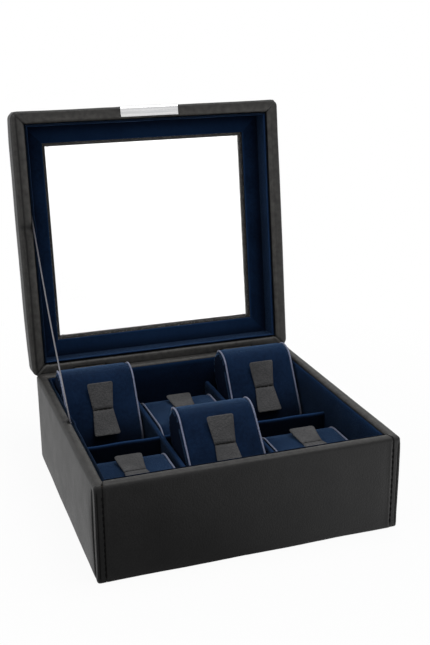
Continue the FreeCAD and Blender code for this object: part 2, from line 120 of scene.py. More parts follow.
def seen_directly(tree):
    """A value of 1 for rays from the camera, a mirror or a pane, and 0 for rays that carry light."""
    path = tree.nodes.new("ShaderNodeLightPath").outputs
    by_camera_or_mirror = combine(tree, "MAXIMUM", path["Is Camera Ray"], path["Is Glossy Ray"])
    return combine(tree, "MAXIMUM", by_camera_or_mirror, path["Is Transmission Ray"])


surround = bpy.data.worlds.new("white_surround")
surround.use_nodes = True
bpy.context.scene.world = surround
tree = surround.node_tree
tree.nodes["Background"].inputs["Color"].default_value = (1, 1, 1, 1)
level_seen = between(tree, seen_directly(tree), SURROUND_LEVEL, 1)
tree.links.new(level_seen, tree.nodes["Background"].inputs["Strength"])

table_corners = np.array([(-1, -1, 0), (1, -1, 0), (1, 1, 0), (-1, 1, 0)]) * TABLE_HALF_WIDTH
table_mesh = bpy.data.meshes.new("table_top")
table_mesh.from_pydata(table_corners.tolist(), [], [(0, 1, 2, 3)])
table_top = bpy.data.objects.new("table_top", table_mesh)
bpy.context.scene.collection.objects.link(table_top)
table_finish = bpy.data.materials.new("pale_table")
table_finish.use_nodes = True
tree = table_finish.node_tree
tree.nodes.remove(tree.nodes["Principled BSDF"])
matt = tree.nodes.new("ShaderNodeBsdfDiffuse")
matt.inputs["Color"].default_value = TABLE_COLOUR
white = tree.nodes.new("ShaderNodeEmission")
spot = tree.nodes.new("ShaderNodeTexCoord").outputs["Object"]
away = tree.nodes.new("ShaderNodeVectorMath")
away.operation = "LENGTH"
tree.links.new(spot, away.inputs[0])
whiteness = between(tree, away.outputs["Value"], TABLE_WHITENESS, 1, *TABLE_SHADE_REACH)
sides = tree.nodes.new("ShaderNodeSeparateXYZ")
tree.links.new(spot, sides.inputs["Vector"])
before_box = between(tree, sides.outputs["X"], *GLARE_LEVELS, *GLARE_ACROSS)
beside_box = between(tree, sides.outputs["Y"], 0, 1, *GLARE_END)
glare = tree.nodes.new("ShaderNodeMix")
glare.inputs["A"].default_value = 1.0
mirrored = tree.nodes.new("ShaderNodeLightPath").outputs["Is Glossy Ray"]
tree.links.new(mirrored, glare.inputs["Factor"])
tree.links.new(combine(tree, "MAXIMUM", before_box, beside_box), glare.inputs["B"])
tree.links.new(glare.outputs["Result"], white.inputs["Strength"])
table_mix = tree.nodes.new("ShaderNodeMixShader")
tree.links.new(combine(tree, "MULTIPLY", seen_directly(tree), whiteness), table_mix.inputs["Fac"])
tree.links.new(matt.outputs["BSDF"], table_mix.inputs[1])
tree.links.new(white.outputs["Emission"], table_mix.inputs[2])
tree.links.new(table_mix.outputs["Shader"], tree.nodes["Material Output"].inputs["Surface"])
table_mesh.materials.append(table_finish)

for name, place, size, watts in LAMPS:
    lamp = bpy.data.objects.new(name, bpy.data.lights.new(name, "AREA"))
    lamp.data.size = size
    lamp.data.energy = watts
    lamp.location = place
    lamp.rotation_euler = (LAMP_AIM - lamp.location).to_track_quat("-Z", "Y").to_euler()
    bpy.context.scene.collection.objects.link(lamp)

# The carcass of the base: fibreboard walls and floor, cut to size and glued at the corners. Leather and
# velvet, and felt underneath, hide all of it.
SIDES = ("front", "right", "rear", "left")
FIBREBOARD_DARK = (0.20, 0.13, 0.075, 1)
FIBREBOARD_PALE = (0.36, 0.26, 0.16, 1)
FIBRES_PER_METRE = 900
CLOUD_EDGES = (0.3, 0.7)


def new_finish(name, **values):
    """A material, its node tree and its shader, with constant values on the sockets named in words."""
    finish = bpy.data.materials.new(name)
    finish.use_nodes = True
    shader = finish.node_tree.nodes["Principled BSDF"]
    for words, value in values.items():
        shader.inputs[words.replace("_", " ")].default_value = value
    return finish, finish.node_tree, shader


def clouds(tree, per_metre, detail=2.0, stretch=(1, 1, 1)):
    """Noise from 0 to 1 over the object's own coordinates, with about so many clouds to a metre."""
    where = tree.nodes.new("ShaderNodeTexCoord")
    stretched = tree.nodes.new("ShaderNodeMapping")
    stretched.inputs["Scale"].default_value = stretch
    noise = tree.nodes.new("ShaderNodeTexNoise")
    noise.inputs["Scale"].default_value = per_metre
    noise.inputs["Detail"].default_value = detail
    tree.links.new(where.outputs["Object"], stretched.inputs["Vector"])
    tree.links.new(stretched.outputs["Vector"], noise.inputs["Vector"])
    return between(tree, noise.outputs["Fac"], 0, 1, *CLOUD_EDGES)


def colour_between(tree, share, first, second):
    """A colour that goes from the first to the second as the share goes from 0 to 1."""
    mix = tree.nodes.new("ShaderNodeMix")
    mix.data_type = "RGBA"
    tree.links.new(share, mix.inputs["Factor"])
    for socket, colour in ((mix.inputs[6], first), (mix.inputs[7], second)):
        if isinstance(colour, tuple):
            socket.default_value = colour
        else:
            tree.links.new(colour, socket)
    return mix.outputs[2]


def emboss(tree, shader, height, depth):
    """Relief on the shader's normal: a height from 0 to 1 stands for a depth in metres."""
    bump = tree.nodes.new("ShaderNodeBump")
    bump.inputs["Distance"].default_value = depth
    tree.links.new(height, bump.inputs["Height"])
    tree.links.new(bump.outputs["Normal"], shader.inputs["Normal"])


def dress(nodes, finish):
    """Gives CAD nodes a finish in place of the plain one."""
    for node in nodes:
        materials = frame["nodes"][node].data.materials
        materials.clear()
        materials.append(finish)


fibreboard, tree, shader = new_finish("fibreboard", Roughness=0.85)
fibres = clouds(tree, FIBRES_PER_METRE, detail=3.0, stretch=(1, 1, 0.25))
board_colour = colour_between(tree, fibres, FIBREBOARD_DARK, FIBREBOARD_PALE)
tree.links.new(board_colour, shader.inputs["Base Color"])
emboss(tree, shader, fibres, depth=0.0001)
dress(["floor_board"] + [side + "_board" for side in SIDES], fibreboard)

# The hinges: two butt hinges of darkened steel, each of two leaves and a pin. The leaves are let into the
# boards under the leather, so that only the barrels show, where the lid and the base meet at the back.
MILLIMETRE = 0.001
HINGES = ("left", "right")
STEEL_DARK = (0.012, 0.012, 0.012, 1)
STEEL_PALE = (0.045, 0.044, 0.042, 1)
STEEL_ROUGHNESS = (0.4, 0.55)
SCRATCHES_PER_METRE = 500
BARREL_END_ROOM = 1.5


def box_of(node):
    """A CAD node's lowest and highest corner, in millimetres."""
    return [np.array(corner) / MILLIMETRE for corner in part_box(node)]


hinge_joint = next(joint for joint in frame["joints"] if joint["name"] == "lid_hinge")
AXIS_Y, AXIS_Z = (value / MILLIMETRE for value in hinge_joint["pos_m"][1:])
OPEN_ANGLE = math.radians(hinge_joint["range_deg"][0])
leaf_low, leaf_high = box_of("right_hinge_base_leaf")
HINGE_MIDDLE = (leaf_low[0] + leaf_high[0]) / 2
BARREL_HALF = (leaf_high[0] - leaf_low[0]) / 2
BARREL_RADIUS = leaf_high[2] - AXIS_Z


def open_lid(spots):
    """Points of the shut lid turned about the hinge axis to where the open lid stands."""
    y, z = spots[..., 1] - AXIS_Y, spots[..., 2] - AXIS_Z
    cos, sin = math.cos(OPEN_ANGLE), math.sin(OPEN_ANGLE)
    return np.stack([spots[..., 0], AXIS_Y + y * cos - z * sin, AXIS_Z + y * sin + z * cos], -1)


def clear_of_barrels(spots, room):
    """Points moved straight out from the hinge axis, wherever they lie closer to it than a room that a
    barrel needs there; the room shrinks to nothing past the barrel's ends."""
    beside = np.abs(np.abs(spots[..., 0]) - HINGE_MIDDLE) - BARREL_HALF
    wanted = (BARREL_RADIUS + room) * np.clip(BARREL_END_ROOM - beside, 0, 1)
    apart = spots[..., 1:] - (AXIS_Y, AXIS_Z)
    distance = np.maximum(np.linalg.norm(apart, axis=-1), 1e-6)
    moved = (AXIS_Y, AXIS_Z) + apart * np.maximum(1, wanted / distance)[..., None]
    return np.concatenate([spots[..., :1], moved], -1)


steel, tree, shader = new_finish("dark_steel", Metallic=1.0)
scratches = clouds(tree, SCRATCHES_PER_METRE, detail=3.0, stretch=(0.06, 1, 1))
tree.links.new(colour_between(tree, scratches, STEEL_DARK, STEEL_PALE), shader.inputs["Base Color"])
tree.links.new(between(tree, scratches, *STEEL_ROUGHNESS), shader.inputs["Roughness"])
emboss(tree, shader, scratches, depth=0.00002)
dress([side + "_hinge_" + piece for side in HINGES for piece in ("base_leaf", "lid_leaf", "pin")], steel)

# The underside: a sheet of black felt glued under the floor, between the turned-in edges of the leather.
# It lies level with them and hides the floor board.
FELT_DARK = (0.008, 0.008, 0.009, 1)
FELT_PALE = (0.022, 0.022, 0.024, 1)
FUZZ_PER_METRE = 1400

felt, tree, shader = new_finish("black_felt", Roughness=0.95, Sheen_Weight=0.15)
fuzz = clouds(tree, FUZZ_PER_METRE, detail=4.0)
tree.links.new(colour_between(tree, fuzz, FELT_DARK, FELT_PALE), shader.inputs["Base Color"])
emboss(tree, shader, fuzz, depth=0.00015)
dress(["underside_sheet"], felt)

# The leather of the base: soft black leather, 1 mm thick, glued round the walls, over the rim and a little
# way down inside, and turned in under the floor. The front is one piece. The other, wrapped round the
# three other sides, meets it in a sewn seam beside each front corner and is creased to a ridge there.
LEATHER = 1.0
RIM_OUTER_RADIUS = 3.0
REAR_RIM_RADIUS = 1.5
RIM_INNER_RADIUS = 2.6
BOTTOM_RADIUS = 1.3
FLANGE = 14.0
TURN_IN = 12.0
FRONT_CORNER_RADIUS = 2.0
REAR_CORNER_RADIUS = 5.0
SEAM_INSET = 5.6
SEAM_GAP = 0.15
SEAM_TUCK = 0.5
SEAM_TUCK_REACH = 1.1
SEAM_ROLL = 0.35
SEAM_ROLL_PLACE = 1.9
SEAM_ROLL_REACH = 0.9
RIDGE_RISE = 0.75
RIDGE_REACH = 0.65
RIDGE_CREASE = 0.4
RIDGE_CREASE_PLACE = 1.9
RIDGE_SHINE = 0.9
RIDGE_TOP = 64.5
RIDGE_FADE = 2.5
GROOVE = 0.62
GROOVE_PLACE = 6.2
GROOVE_REACH = 2.1
CREASE_SHADE = 0.95
CREASE_SHADE_DEPTH = 0.35
FOOT_FADE = 4.0
WALL_SWELL = 1.0
WALL_REACH = 1.5
SWELL_END = 0.975
SWELL_RAMP = 0.13
SOFTNESS = 0.12
SOFTNESS_LENGTH = 60.0
SLACK = 0.025
SLACK_LENGTH = 16.0
RIM_CALM = 0.6
WAVES = 14
WAVE_SPREAD = (0.6, 1.3)
RIM_BAND_REACH = 1.3
HIGHLIGHT_OUTSIDE = 0.25
REAR_PRESS_DEPTH = 10.0
REAR_PRESS_FROM = 12.0
REAR_PRESS_LENGTH = 8.0
RIBBON_BASE_Y = 2.0
NOTCH = 0.95
NOTCH_REACH = 1.9
NOTCH_SHADE_SHIFT = 1.6
NOTCH_SHADE_REACH = 2.4
NOTCH_SHADE_FROM = 0.4
NOTCH_SHADE_RAMP = 0.2
NOTCH_SHADE_DEPTH = 0.02
BARREL_ROOM = 0.35
BARREL_ROOM_INSIDE = 0.6
ARC_STEPS = 7
CORNER_STEPS = 5
FINE_STEP = 0.3
LEATHER_STEP = 2.5
FRONT_FINE_END = 3.0
SIDE_FINE_END = 11.0
SIDE_FINE_STEP = 1.5 * FINE_STEP
SIDE_PLAIN_END = 6.0
NOTCH_FINE_REACH = (-7.0, 5.0)
NOTCH_FINE_STEP = 2 * FINE_STEP
SHARP_ANGLE = math.radians(38)
LEATHER_DARK = (0.0078, 0.0078, 0.0080, 1)
LEATHER_PALE = (0.0145, 0.0143, 0.0145, 1)
# The highlight colour is painted along the rims, the ridges' crests and the window's edge; the near black is
# painted shade in the creases and the ribbon's notches.
LEATHER_HIGHLIGHT = (0.060, 0.058, 0.055, 1)
LEATHER_PAINTED_SHADE = (0.0008, 0.0008, 0.0008, 1)
PEBBLE_SMOOTHNESS = 0.4
PORES_TO_PEBBLE = 3
PORE_SHARE = 0.3
SHADES_PER_METRE = 45
GLOSS_PER_METRE = 70
GLOSS_RANGE = np.array([-0.02, 0.03])
BREAKUP_PER_METRE = 240
BREAKUP_RANGE = (0.55, 1.45)
FRONT_SEED = 11
WRAP_SEED = 23

base_low, base_high = box_of("wrap_cover")
BASE_SIZE = (base_high - base_low)[:2]
RIM_HEIGHT = base_high[2]
WALL = box_of("left_lining")[0][0] - base_low[0]
BASE_RADII = np.array([FRONT_CORNER_RADIUS] * 2 + [REAR_CORNER_RADIUS] * 2)


def run_on(start, end, step):
    """Points from just after a start to an end, evenly spaced about a step apart."""
    count = max(1, round(float(np.linalg.norm(end - start)) / step))
    return start + np.linspace(0, 1, count + 1)[1:, None] * (end - start)


def bent_line(corners, step):
    """An open line through corners (across, up, radius): straight runs, and at each rounded corner the arc
    that touches the runs on both sides of it."""
    corners = np.array(corners, float)
    spots = corners[:, :2]
    line = [spots[:1]]
    for before, here, after, radius in zip(spots, spots[1:], spots[2:], corners[1:, 2]):
        back = (before - here) / np.linalg.norm(before - here)
        onward = (after - here) / np.linalg.norm(after - here)
        half = math.acos(np.clip(back @ onward, -1, 1)) / 2
        first = here + back * radius / math.tan(half)
        line.append(run_on(line[-1][-1], first, step))
        if radius > 0:
            last = here + onward * radius / math.tan(half)
            centre = here + (back + onward) / np.linalg.norm(back + onward) * radius / math.sin(half)
            sweep = math.pi - 2 * half
            share = np.linspace(0, 1, ARC_STEPS + 1)[1:, None]
            arc = np.sin((1 - share) * sweep) * (first - centre) + np.sin(share * sweep) * (last - centre)
            line.append(centre + arc / math.sin(sweep))
    line.append(run_on(line[-1][-1], spots[-1], step))
    return np.concatenate(line)


def outward(line):
    """Unit vectors square to a line (across, up), on its left as it is walked."""
    along = np.gradient(line, axis=0)
    along /= np.linalg.norm(along, axis=1, keepdims=True)
    return np.stack([-along[:, 1], along[:, 0]], -1)


def two_faced(outside, inside):
    """A closed section from its line outside and its line back inside: its points, the directions in which
    its outside is pushed, and a value of 1 for the points outside and 0 for those inside."""
    push = np.concatenate([outward(outside), np.zeros_like(inside)])
    front = np.repeat([1.0, 0.0], [len(outside), len(inside)])
    return np.concatenate([outside, inside]), push, front


def on_grid(x, y, z):
    """Points from coordinates that are spread over one grid."""
    return np.stack(np.broadcast_arrays(x, y, z), -1)


def wall_plan(turn, place, inward, size, radii):
    """Where points of a wall round a box lie in plan. Along side number turn, place goes from -2, the middle
    of one corner, to 2, the middle of the next, and is -1 and 1 where the straight stretch ends. A point
    lies inward of the outside: square to it on the straight, on a smaller arc with the same centre round a
    corner, and past that centre on the mitre."""
    length = size[turn % 2] / 2
    reach = size[(turn + 1) % 2] / 2
    radius = np.where(place < 0, radii[turn], radii[(turn + 1) % 4])
    start = length - np.maximum(inward, radii[turn])
    stop = length - np.maximum(inward, radii[(turn + 1) % 4])
    straight = np.clip(place, -1, 1)
    angle = (np.abs(place) - np.abs(straight)) * math.pi / 4
    arc = np.maximum(radius - inward, 0)
    x = (straight + 1) / 2 * (start + stop) - start + np.sign(place) * arc * np.sin(angle)
    y = np.maximum(inward, radius) - reach - arc * np.cos(angle)
    quarter = turn * math.pi / 2
    return x * np.cos(quarter) - y * np.sin(quarter), x * np.sin(quarter) + y * np.cos(quarter)


def bell(distance, reach):
    """A smooth hump: 1 at no distance, fading to nothing at about two reaches."""
    return np.exp(-((distance / reach) ** 2))


def ripple(spots, length, seed):
    """Soft unevenness from about -1 to 1: a sum of sine waves in random directions, of about one length."""
    draw = np.random.default_rng(seed)
    waves = draw.normal(size=(3, WAVES))
    waves *= 2 * math.pi / length * draw.uniform(*WAVE_SPREAD, WAVES) / np.linalg.norm(waves, axis=0)
    return np.sin(spots @ waves + draw.uniform(0, 2 * math.pi, WAVES)).sum(-1) / math.sqrt(WAVES)


def unevenness(spots, soft_seed, slack_seed):
    """How far leather stands out by itself: long soft waves, and shorter ones where it lies slack."""
    soft = SOFTNESS * ripple(spots, SOFTNESS_LENGTH, soft_seed)
    return soft + SLACK * ripple(spots, SLACK_LENGTH, slack_seed)


def closed_skin(name, loops, finish, marks=None):
    """A piece closed all round, through loops of points in millimetres, (loop, point, xyz): quads join each
    loop to the next and one face closes each end. Several such skins may be stacked in one more axis.
    Faces are turned so that they look outwards. Marks are values kept on the points."""
    skins = loops.reshape((-1,) + loops.shape[-3:])
    count, rows, columns = skins.shape[:3]
    index = np.arange(count * rows * columns).reshape(count, rows, columns)
    near, far = index[:, :-1], index[:, 1:]
    quads = np.stack([near, np.roll(near, -1, 2), np.roll(far, -1, 2), far], -1).reshape(-1, 4)
    spots = skins.reshape(-1, 3)
    a, b, c, d = (spots[quads[:, corner]] for corner in range(4))
    volume = (np.cross(a, b) * c + np.cross(a, c) * d).sum()
    faces = quads.tolist() + index[:, 0, ::-1].tolist() + index[:, -1].tolist()
    if volume < 0:
        faces = [face[::-1] for face in faces]
    mesh = bpy.data.meshes.new(name)
    mesh.from_pydata((spots * MILLIMETRE).tolist(), [], faces)
    for mark, values in (marks or {}).items():
        kept = mesh.attributes.new(mark, "FLOAT", "POINT")
        values = np.broadcast_to(values, loops.shape[:-1])
        kept.data.foreach_set("value", np.ascontiguousarray(values, np.float32).ravel())
    mesh.shade_smooth()
    mesh.set_sharp_from_angle(angle=SHARP_ANGLE)
    mesh.materials.append(finish)
    piece = bpy.data.objects.new(name, mesh)
    bpy.context.scene.collection.objects.link(piece)
    return piece


def marked(tree, mark):
    """The value that a piece's points keep under a mark, and 0 where it has none."""
    kept = tree.nodes.new("ShaderNodeAttribute")
    kept.attribute_name = mark
    return kept.outputs["Fac"]


def leather_finish(name, dark, pale, stretched, grain, depth, roughness, specular):
    """Leather with pebbled grain of so many cells to a metre: cells and fine noise for the relief, cloudy
    change of colour, and gloss that comes and goes. A second colour, broken up in patches, is painted where
    the piece
    is marked for painted light: a painted highlight on the black leather, painted shade along the tabs'
    waists.
    Near black painted shade, rough, goes where the piece is marked for shade."""
    finish, tree, shader = new_finish(name, Specular_IOR_Level=specular)
    where = tree.nodes.new("ShaderNodeTexCoord")
    cells = tree.nodes.new("ShaderNodeTexVoronoi")
    cells.feature = "SMOOTH_F1"
    cells.inputs["Scale"].default_value = grain
    cells.inputs["Smoothness"].default_value = PEBBLE_SMOOTHNESS
    tree.links.new(where.outputs["Object"], cells.inputs["Vector"])
    pebbles = combine(tree, "SUBTRACT", 1.0, cells.outputs["Distance"])
    pores = combine(tree, "MULTIPLY", clouds(tree, grain * PORES_TO_PEBBLE), PORE_SHARE)
    emboss(tree, shader, combine(tree, "ADD", pebbles, pores), depth)
    shade = combine(tree, "MULTIPLY", clouds(tree, SHADES_PER_METRE, detail=4.0), pebbles)
    # Painted light: the second colour goes where the piece is marked for it, broken up in patches, and near
    # black painted shade where it is marked for shade.
    breakup = between(tree, clouds(tree, BREAKUP_PER_METRE, detail=4.0), *BREAKUP_RANGE)
    painted_share = combine(tree, "MULTIPLY", marked(tree, "stretch"), breakup)
    painted_shade = marked(tree, "painted_shade")
    colour = colour_between(tree, painted_share, colour_between(tree, shade, dark, pale), stretched)
    tree.links.new(colour_between(tree, painted_shade, colour, LEATHER_PAINTED_SHADE), shader.inputs["Base Color"])
    gloss = between(tree, clouds(tree, GLOSS_PER_METRE, detail=3.0), *(roughness + GLOSS_RANGE))
    tree.links.new(combine(tree, "MAXIMUM", gloss, painted_shade), shader.inputs["Roughness"])
    return finish


black_leather = leather_finish(
    "black_leather",
    LEATHER_DARK,
    LEATHER_PALE,
    LEATHER_HIGHLIGHT,
    grain=850,
    depth=0.00012,
    roughness=0.46,
    specular=0.19,
)
leather_outside = bent_line(
    [
        (TURN_IN, 0, 0),
        (0, 0, BOTTOM_RADIUS),
        (0, RIM_HEIGHT, RIM_OUTER_RADIUS),
        (WALL, RIM_HEIGHT, RIM_INNER_RADIUS),
        (WALL, RIM_HEIGHT - FLANGE, 0),
    ],
    LEATHER_STEP,
)
leather_inside = bent_line(
    [
        (WALL - LEATHER, RIM_HEIGHT - FLANGE, 0),
        (WALL - LEATHER, RIM_HEIGHT - LEATHER, RIM_INNER_RADIUS - LEATHER),
        (LEATHER, RIM_HEIGHT - LEATHER, RIM_OUTER_RADIUS - LEATHER),
        (LEATHER, LEATHER, BOTTOM_RADIUS - LEATHER),
        (TURN_IN, LEATHER, 0),
    ],
    LEATHER_STEP,
)
leather_loop, leather_push, leather_front = two_faced(leather_outside, leather_inside)
loop_inward, loop_height = leather_loop.T
inner_share = np.clip(loop_inward / WALL, 0, 1)
on_rim = bell(RIM_HEIGHT - loop_height, RIM_BAND_REACH) * leather_front
near_edge = np.clip((loop_height - RIM_HEIGHT + RIM_OUTER_RADIUS) / REAR_PRESS_DEPTH + 1, 0, 1)
near_edge *= leather_front * np.clip((WALL - loop_inward) / (WALL - RIM_OUTER_RADIUS), 0, 1)
on_wall = np.sin(math.pi * np.clip(loop_height / RIM_HEIGHT, 0, 1))
on_wall *= leather_front * bell(loop_inward, WALL_REACH)


def base_leather(name, turn, place, lift, seed, node):
    """A leather cover of the base: the leather's section carried along walls (turn, place), pushed out by a
    lift, by soft unevenness, which fades where the lift presses a seam in, and by the padding under it,
    which swells each wall between its corners, most at half its height. At the back the rim's outer edge is
    pressed to a smaller radius, where the lid's rim rests against it. The ribbon presses in a notch."""
    x, y = wall_plan(turn, place, loop_inward, BASE_SIZE, BASE_RADII)
    slack = np.clip(1 + lift / SEAM_TUCK, 0, 1) * (1 - RIM_CALM * on_rim)
    push = lift + unevenness(on_grid(x, y, loop_height), seed, seed + 1) * slack
    from_end = SWELL_END - 2 * np.abs(np.where(turn % 2 == 0, x / BASE_SIZE[0], y / BASE_SIZE[1]))
    ramp = np.clip(from_end / SWELL_RAMP, 0, 1)
    push = push + WALL_SWELL * on_wall * ramp**2 * (3 - 2 * ramp)
    by_ribbon = bell(y - RIBBON_BASE_Y, NOTCH_REACH) * (x < 0) * on_rim
    push -= NOTCH * by_ribbon * inner_share**2
    at_back = np.clip((y - BASE_SIZE[1] / 2 + REAR_PRESS_FROM) / REAR_PRESS_LENGTH, 0, 1)
    pressed = (RIM_OUTER_RADIUS - REAR_RIM_RADIUS) * near_edge * at_back
    inward = loop_inward + push * leather_push[:, 0] - pressed * (1 - np.abs(leather_push[:, 0]))
    x, y = wall_plan(turn, place, inward, BASE_SIZE, BASE_RADII)
    height = loop_height + push * leather_push[:, 1] + pressed * (1 - leather_push[:, 1])
    room = BARREL_ROOM + BARREL_ROOM_INSIDE * (1 - leather_front)
    loops = clear_of_barrels(on_grid(x, y, np.maximum(height, 0)), room)
    # Painted shade in the ribbon's notch in the rim, and in the crease beside each ridge.
    in_notch = np.abs(y - RIBBON_BASE_Y + NOTCH_SHADE_SHIFT) < NOTCH_SHADE_REACH
    in_notch = in_notch * (x < 0) * (on_rim > NOTCH_SHADE_DEPTH)
    in_notch = in_notch * np.clip((inner_share - NOTCH_SHADE_FROM) / NOTCH_SHADE_RAMP, 0, 1)
    # A painted highlight along the rims, strongest at their inner edge and left out where the ribbon presses
    # in, and along the ridges' crests.
    stretch = on_rim * (HIGHLIGHT_OUTSIDE + (1 - HIGHLIGHT_OUTSIDE) * inner_share**2) * (1 - by_ribbon)
    on_ridge = np.clip((lift - SEAM_ROLL) / (RIDGE_RISE - SEAM_ROLL), 0, 1)
    in_crease = np.clip(-lift / CREASE_SHADE_DEPTH, 0, 1)
    marks = {
        "stretch": stretch + RIDGE_SHINE * on_ridge,
        "painted_shade": np.maximum(in_notch, CREASE_SHADE * in_crease),
    }
    piece = closed_skin(name, loops, black_leather, marks)
    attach(piece, "base")
    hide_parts(node)


def tuck(distance):
    """How far leather turns in towards a seam at a distance: a parabola that starts level."""
    return -SEAM_TUCK * np.clip(1 - distance / SEAM_TUCK_REACH, 0, 1) ** 2


def seam_across(inward):
    """How far from the middle of the front the seam lies: it slants over the rim to the inner corner."""
    slant = (WALL - SEAM_INSET) / WALL
    return BASE_SIZE[0] / 2 - np.maximum(SEAM_INSET + slant * inward, inward)


straight_half = BASE_SIZE[0] / 2 - np.maximum(loop_inward, FRONT_CORNER_RADIUS)
seam_place = (seam_across(loop_inward) - SEAM_GAP / 2) / straight_half
front_half = BASE_SIZE[0] / 2 - SEAM_INSET
middle_run = np.arange(FRONT_FINE_END - front_half, front_half - FRONT_FINE_END + 1, LEATHER_STEP)
end_run = 1 - np.arange(0, FRONT_FINE_END, FINE_STEP) / front_half
front_run = np.concatenate([-end_run, middle_run / front_half, end_run[::-1]])[:, None]
above_foot = np.clip(loop_height / FOOT_FADE, 0, 1)
below_rim = np.clip((RIDGE_TOP - loop_height) / RIDGE_FADE, 0, 1)
from_seam = (1 - np.abs(front_run)) * front_half
seam_roll = SEAM_ROLL * bell(from_seam - SEAM_ROLL_PLACE, SEAM_ROLL_REACH) * below_rim
front_lift = (tuck(from_seam) + seam_roll) * above_foot
base_leather("front_leather", 0, front_run * seam_place, front_lift, FRONT_SEED, "front_cover")

strip_run = np.linspace(0, 1, round(SEAM_INSET / FINE_STEP))[:, None]
strip_place = 1 - (1 - strip_run) * (1 - seam_place * (1 + SEAM_GAP / front_half))
corner_run = np.linspace(1, 2, CORNER_STEPS + 1)[1:, None]
side_half = BASE_SIZE[1] / 2
fine_side = np.arange(0, SIDE_FINE_END, SIDE_FINE_STEP)
plain_side = np.arange(SIDE_FINE_END, 2 * side_half - SIDE_PLAIN_END, LEATHER_STEP)
notch_side = side_half + RIBBON_BASE_Y + np.arange(*NOTCH_FINE_REACH, NOTCH_FINE_STEP)
side_run = np.unique(np.concatenate([fine_side, plain_side, notch_side]))[:, None] / side_half - 1
rear_run = np.arange(0, BASE_SIZE[0], LEATHER_STEP)[:, None] / BASE_SIZE[0] * 2 - 1
right_walls = [
    (0, strip_place),
    (0, corner_run),
    (1, -corner_run[-2::-1]),
    (1, side_run),
    (1, corner_run[1::2]),
    (2, -corner_run[-3::-2]),
    (2, rear_run[rear_run[:, 0] <= 0]),
]
turns = np.concatenate([np.full((len(run), 1), turn) for turn, run in right_walls])
places = np.concatenate([np.broadcast_to(run, (len(run), len(loop_inward))) for turn, run in right_walls])
turns = np.concatenate([turns, (4 - turns[-2::-1]) % 4])
places = np.concatenate([places, -places[-2::-1]])
corner_x, corner_y = wall_plan(turns, places, np.zeros_like(loop_inward), BASE_SIZE, BASE_RADII)
from_front = corner_y + side_half
from_side = BASE_SIZE[0] / 2 - np.abs(corner_x)
from_corner = np.where(from_front < from_side, -from_side, from_front)
on_strip = (from_front < from_side) & (turns == 0)
ridge = RIDGE_RISE * bell(from_corner, RIDGE_REACH)
ridge = ridge - RIDGE_CREASE * bell(from_corner + RIDGE_CREASE_PLACE, RIDGE_REACH)
ridge = ridge - GROOVE * bell(from_corner - GROOVE_PLACE, GROOVE_REACH)
wrap_lift = (ridge * below_rim + np.where(on_strip, tuck(SEAM_INSET - from_side), 0)) * above_foot
base_leather("wrapped_leather", turns, places, wrap_lift, WRAP_SEED, "wrap_cover")

# The front seams' stitches: waxed black thread, sewn by machine down the strip beside each front corner.
# Each stitch is a short length that rises out of the leather in its middle.
THREAD_RADIUS = 0.55
THREAD_DARK = (0.0012, 0.0012, 0.0013, 1)
THREAD_PALE = (0.004, 0.004, 0.0042, 1)
THREAD_ROWS = 7
THREAD_COLUMNS = 6
THREAD_END_THINNING = 0.9
THREAD_END_POWER = 6
TWISTS_PER_METRE = 1500
STITCH = 2.9
STITCH_PITCH = 4.4
STITCH_FROM_SEAM = 0.25
STITCH_RISE = 0.1
STITCHES_LOW = 4.0
STITCHES_HIGH = 64.0
HANDS = (("left", -1), ("right", 1))


def thread_finish(name, dark, pale):
    """Twisted thread: slanting bands of the two colours, without gloss."""
    finish, tree, shader = new_finish(name, Roughness=0.75, Specular_IOR_Level=0.08)
    twist = clouds(tree, TWISTS_PER_METRE, detail=1.0, stretch=(1, 1, 2.5))
    tree.links.new(colour_between(tree, twist, dark, pale), shader.inputs["Base Color"])
    emboss(tree, shader, twist, depth=0.00008)
    return finish


def stitch_row(name, starts, ends, out, radius, rise):
    """Lengths of black thread from starts to ends: circles carried along a low arch that rises outwards in
    the middle, and drawn in towards both ends."""
    share = np.linspace(-1, 1, THREAD_ROWS)[:, None]
    around = np.arange(THREAD_COLUMNS)[:, None] * 2 * math.pi / THREAD_COLUMNS
    along = (ends - starts)[:, None]
    out = np.broadcast_to(out, starts.shape)[:, None]
    side = np.cross(along, out)
    side = side / np.linalg.norm(side, axis=-1, keepdims=True)
    line = (starts + ends)[:, None] / 2 + share / 2 * along + rise * (1 - share**2) * out
    thick = radius * np.sqrt(1 - THREAD_END_THINNING * share**THREAD_END_POWER)
    ring = np.cos(around) * side[:, :, None] + np.sin(around) * out[:, :, None]
    return closed_skin(name, line[:, :, None] + thick[:, None] * ring, black_thread)


black_thread = thread_finish("black_thread", THREAD_DARK, THREAD_PALE)
stitch_low = np.arange(STITCHES_LOW, STITCHES_HIGH - STITCH, STITCH_PITCH)
seam_y = base_low[1] - tuck(STITCH_FROM_SEAM)
forwards = np.array([0, -1.0, 0])
for side, sign in HANDS:
    seam_x = sign * (BASE_SIZE[0] / 2 - SEAM_INSET + STITCH_FROM_SEAM)
    lower = on_grid(seam_x, seam_y, stitch_low)
    upper = lower + (0, 0, STITCH)
    name = side + "_seam_stitches"
    piece = stitch_row(name, lower, upper, forwards, THREAD_RADIUS, STITCH_RISE)
    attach(piece, "base")

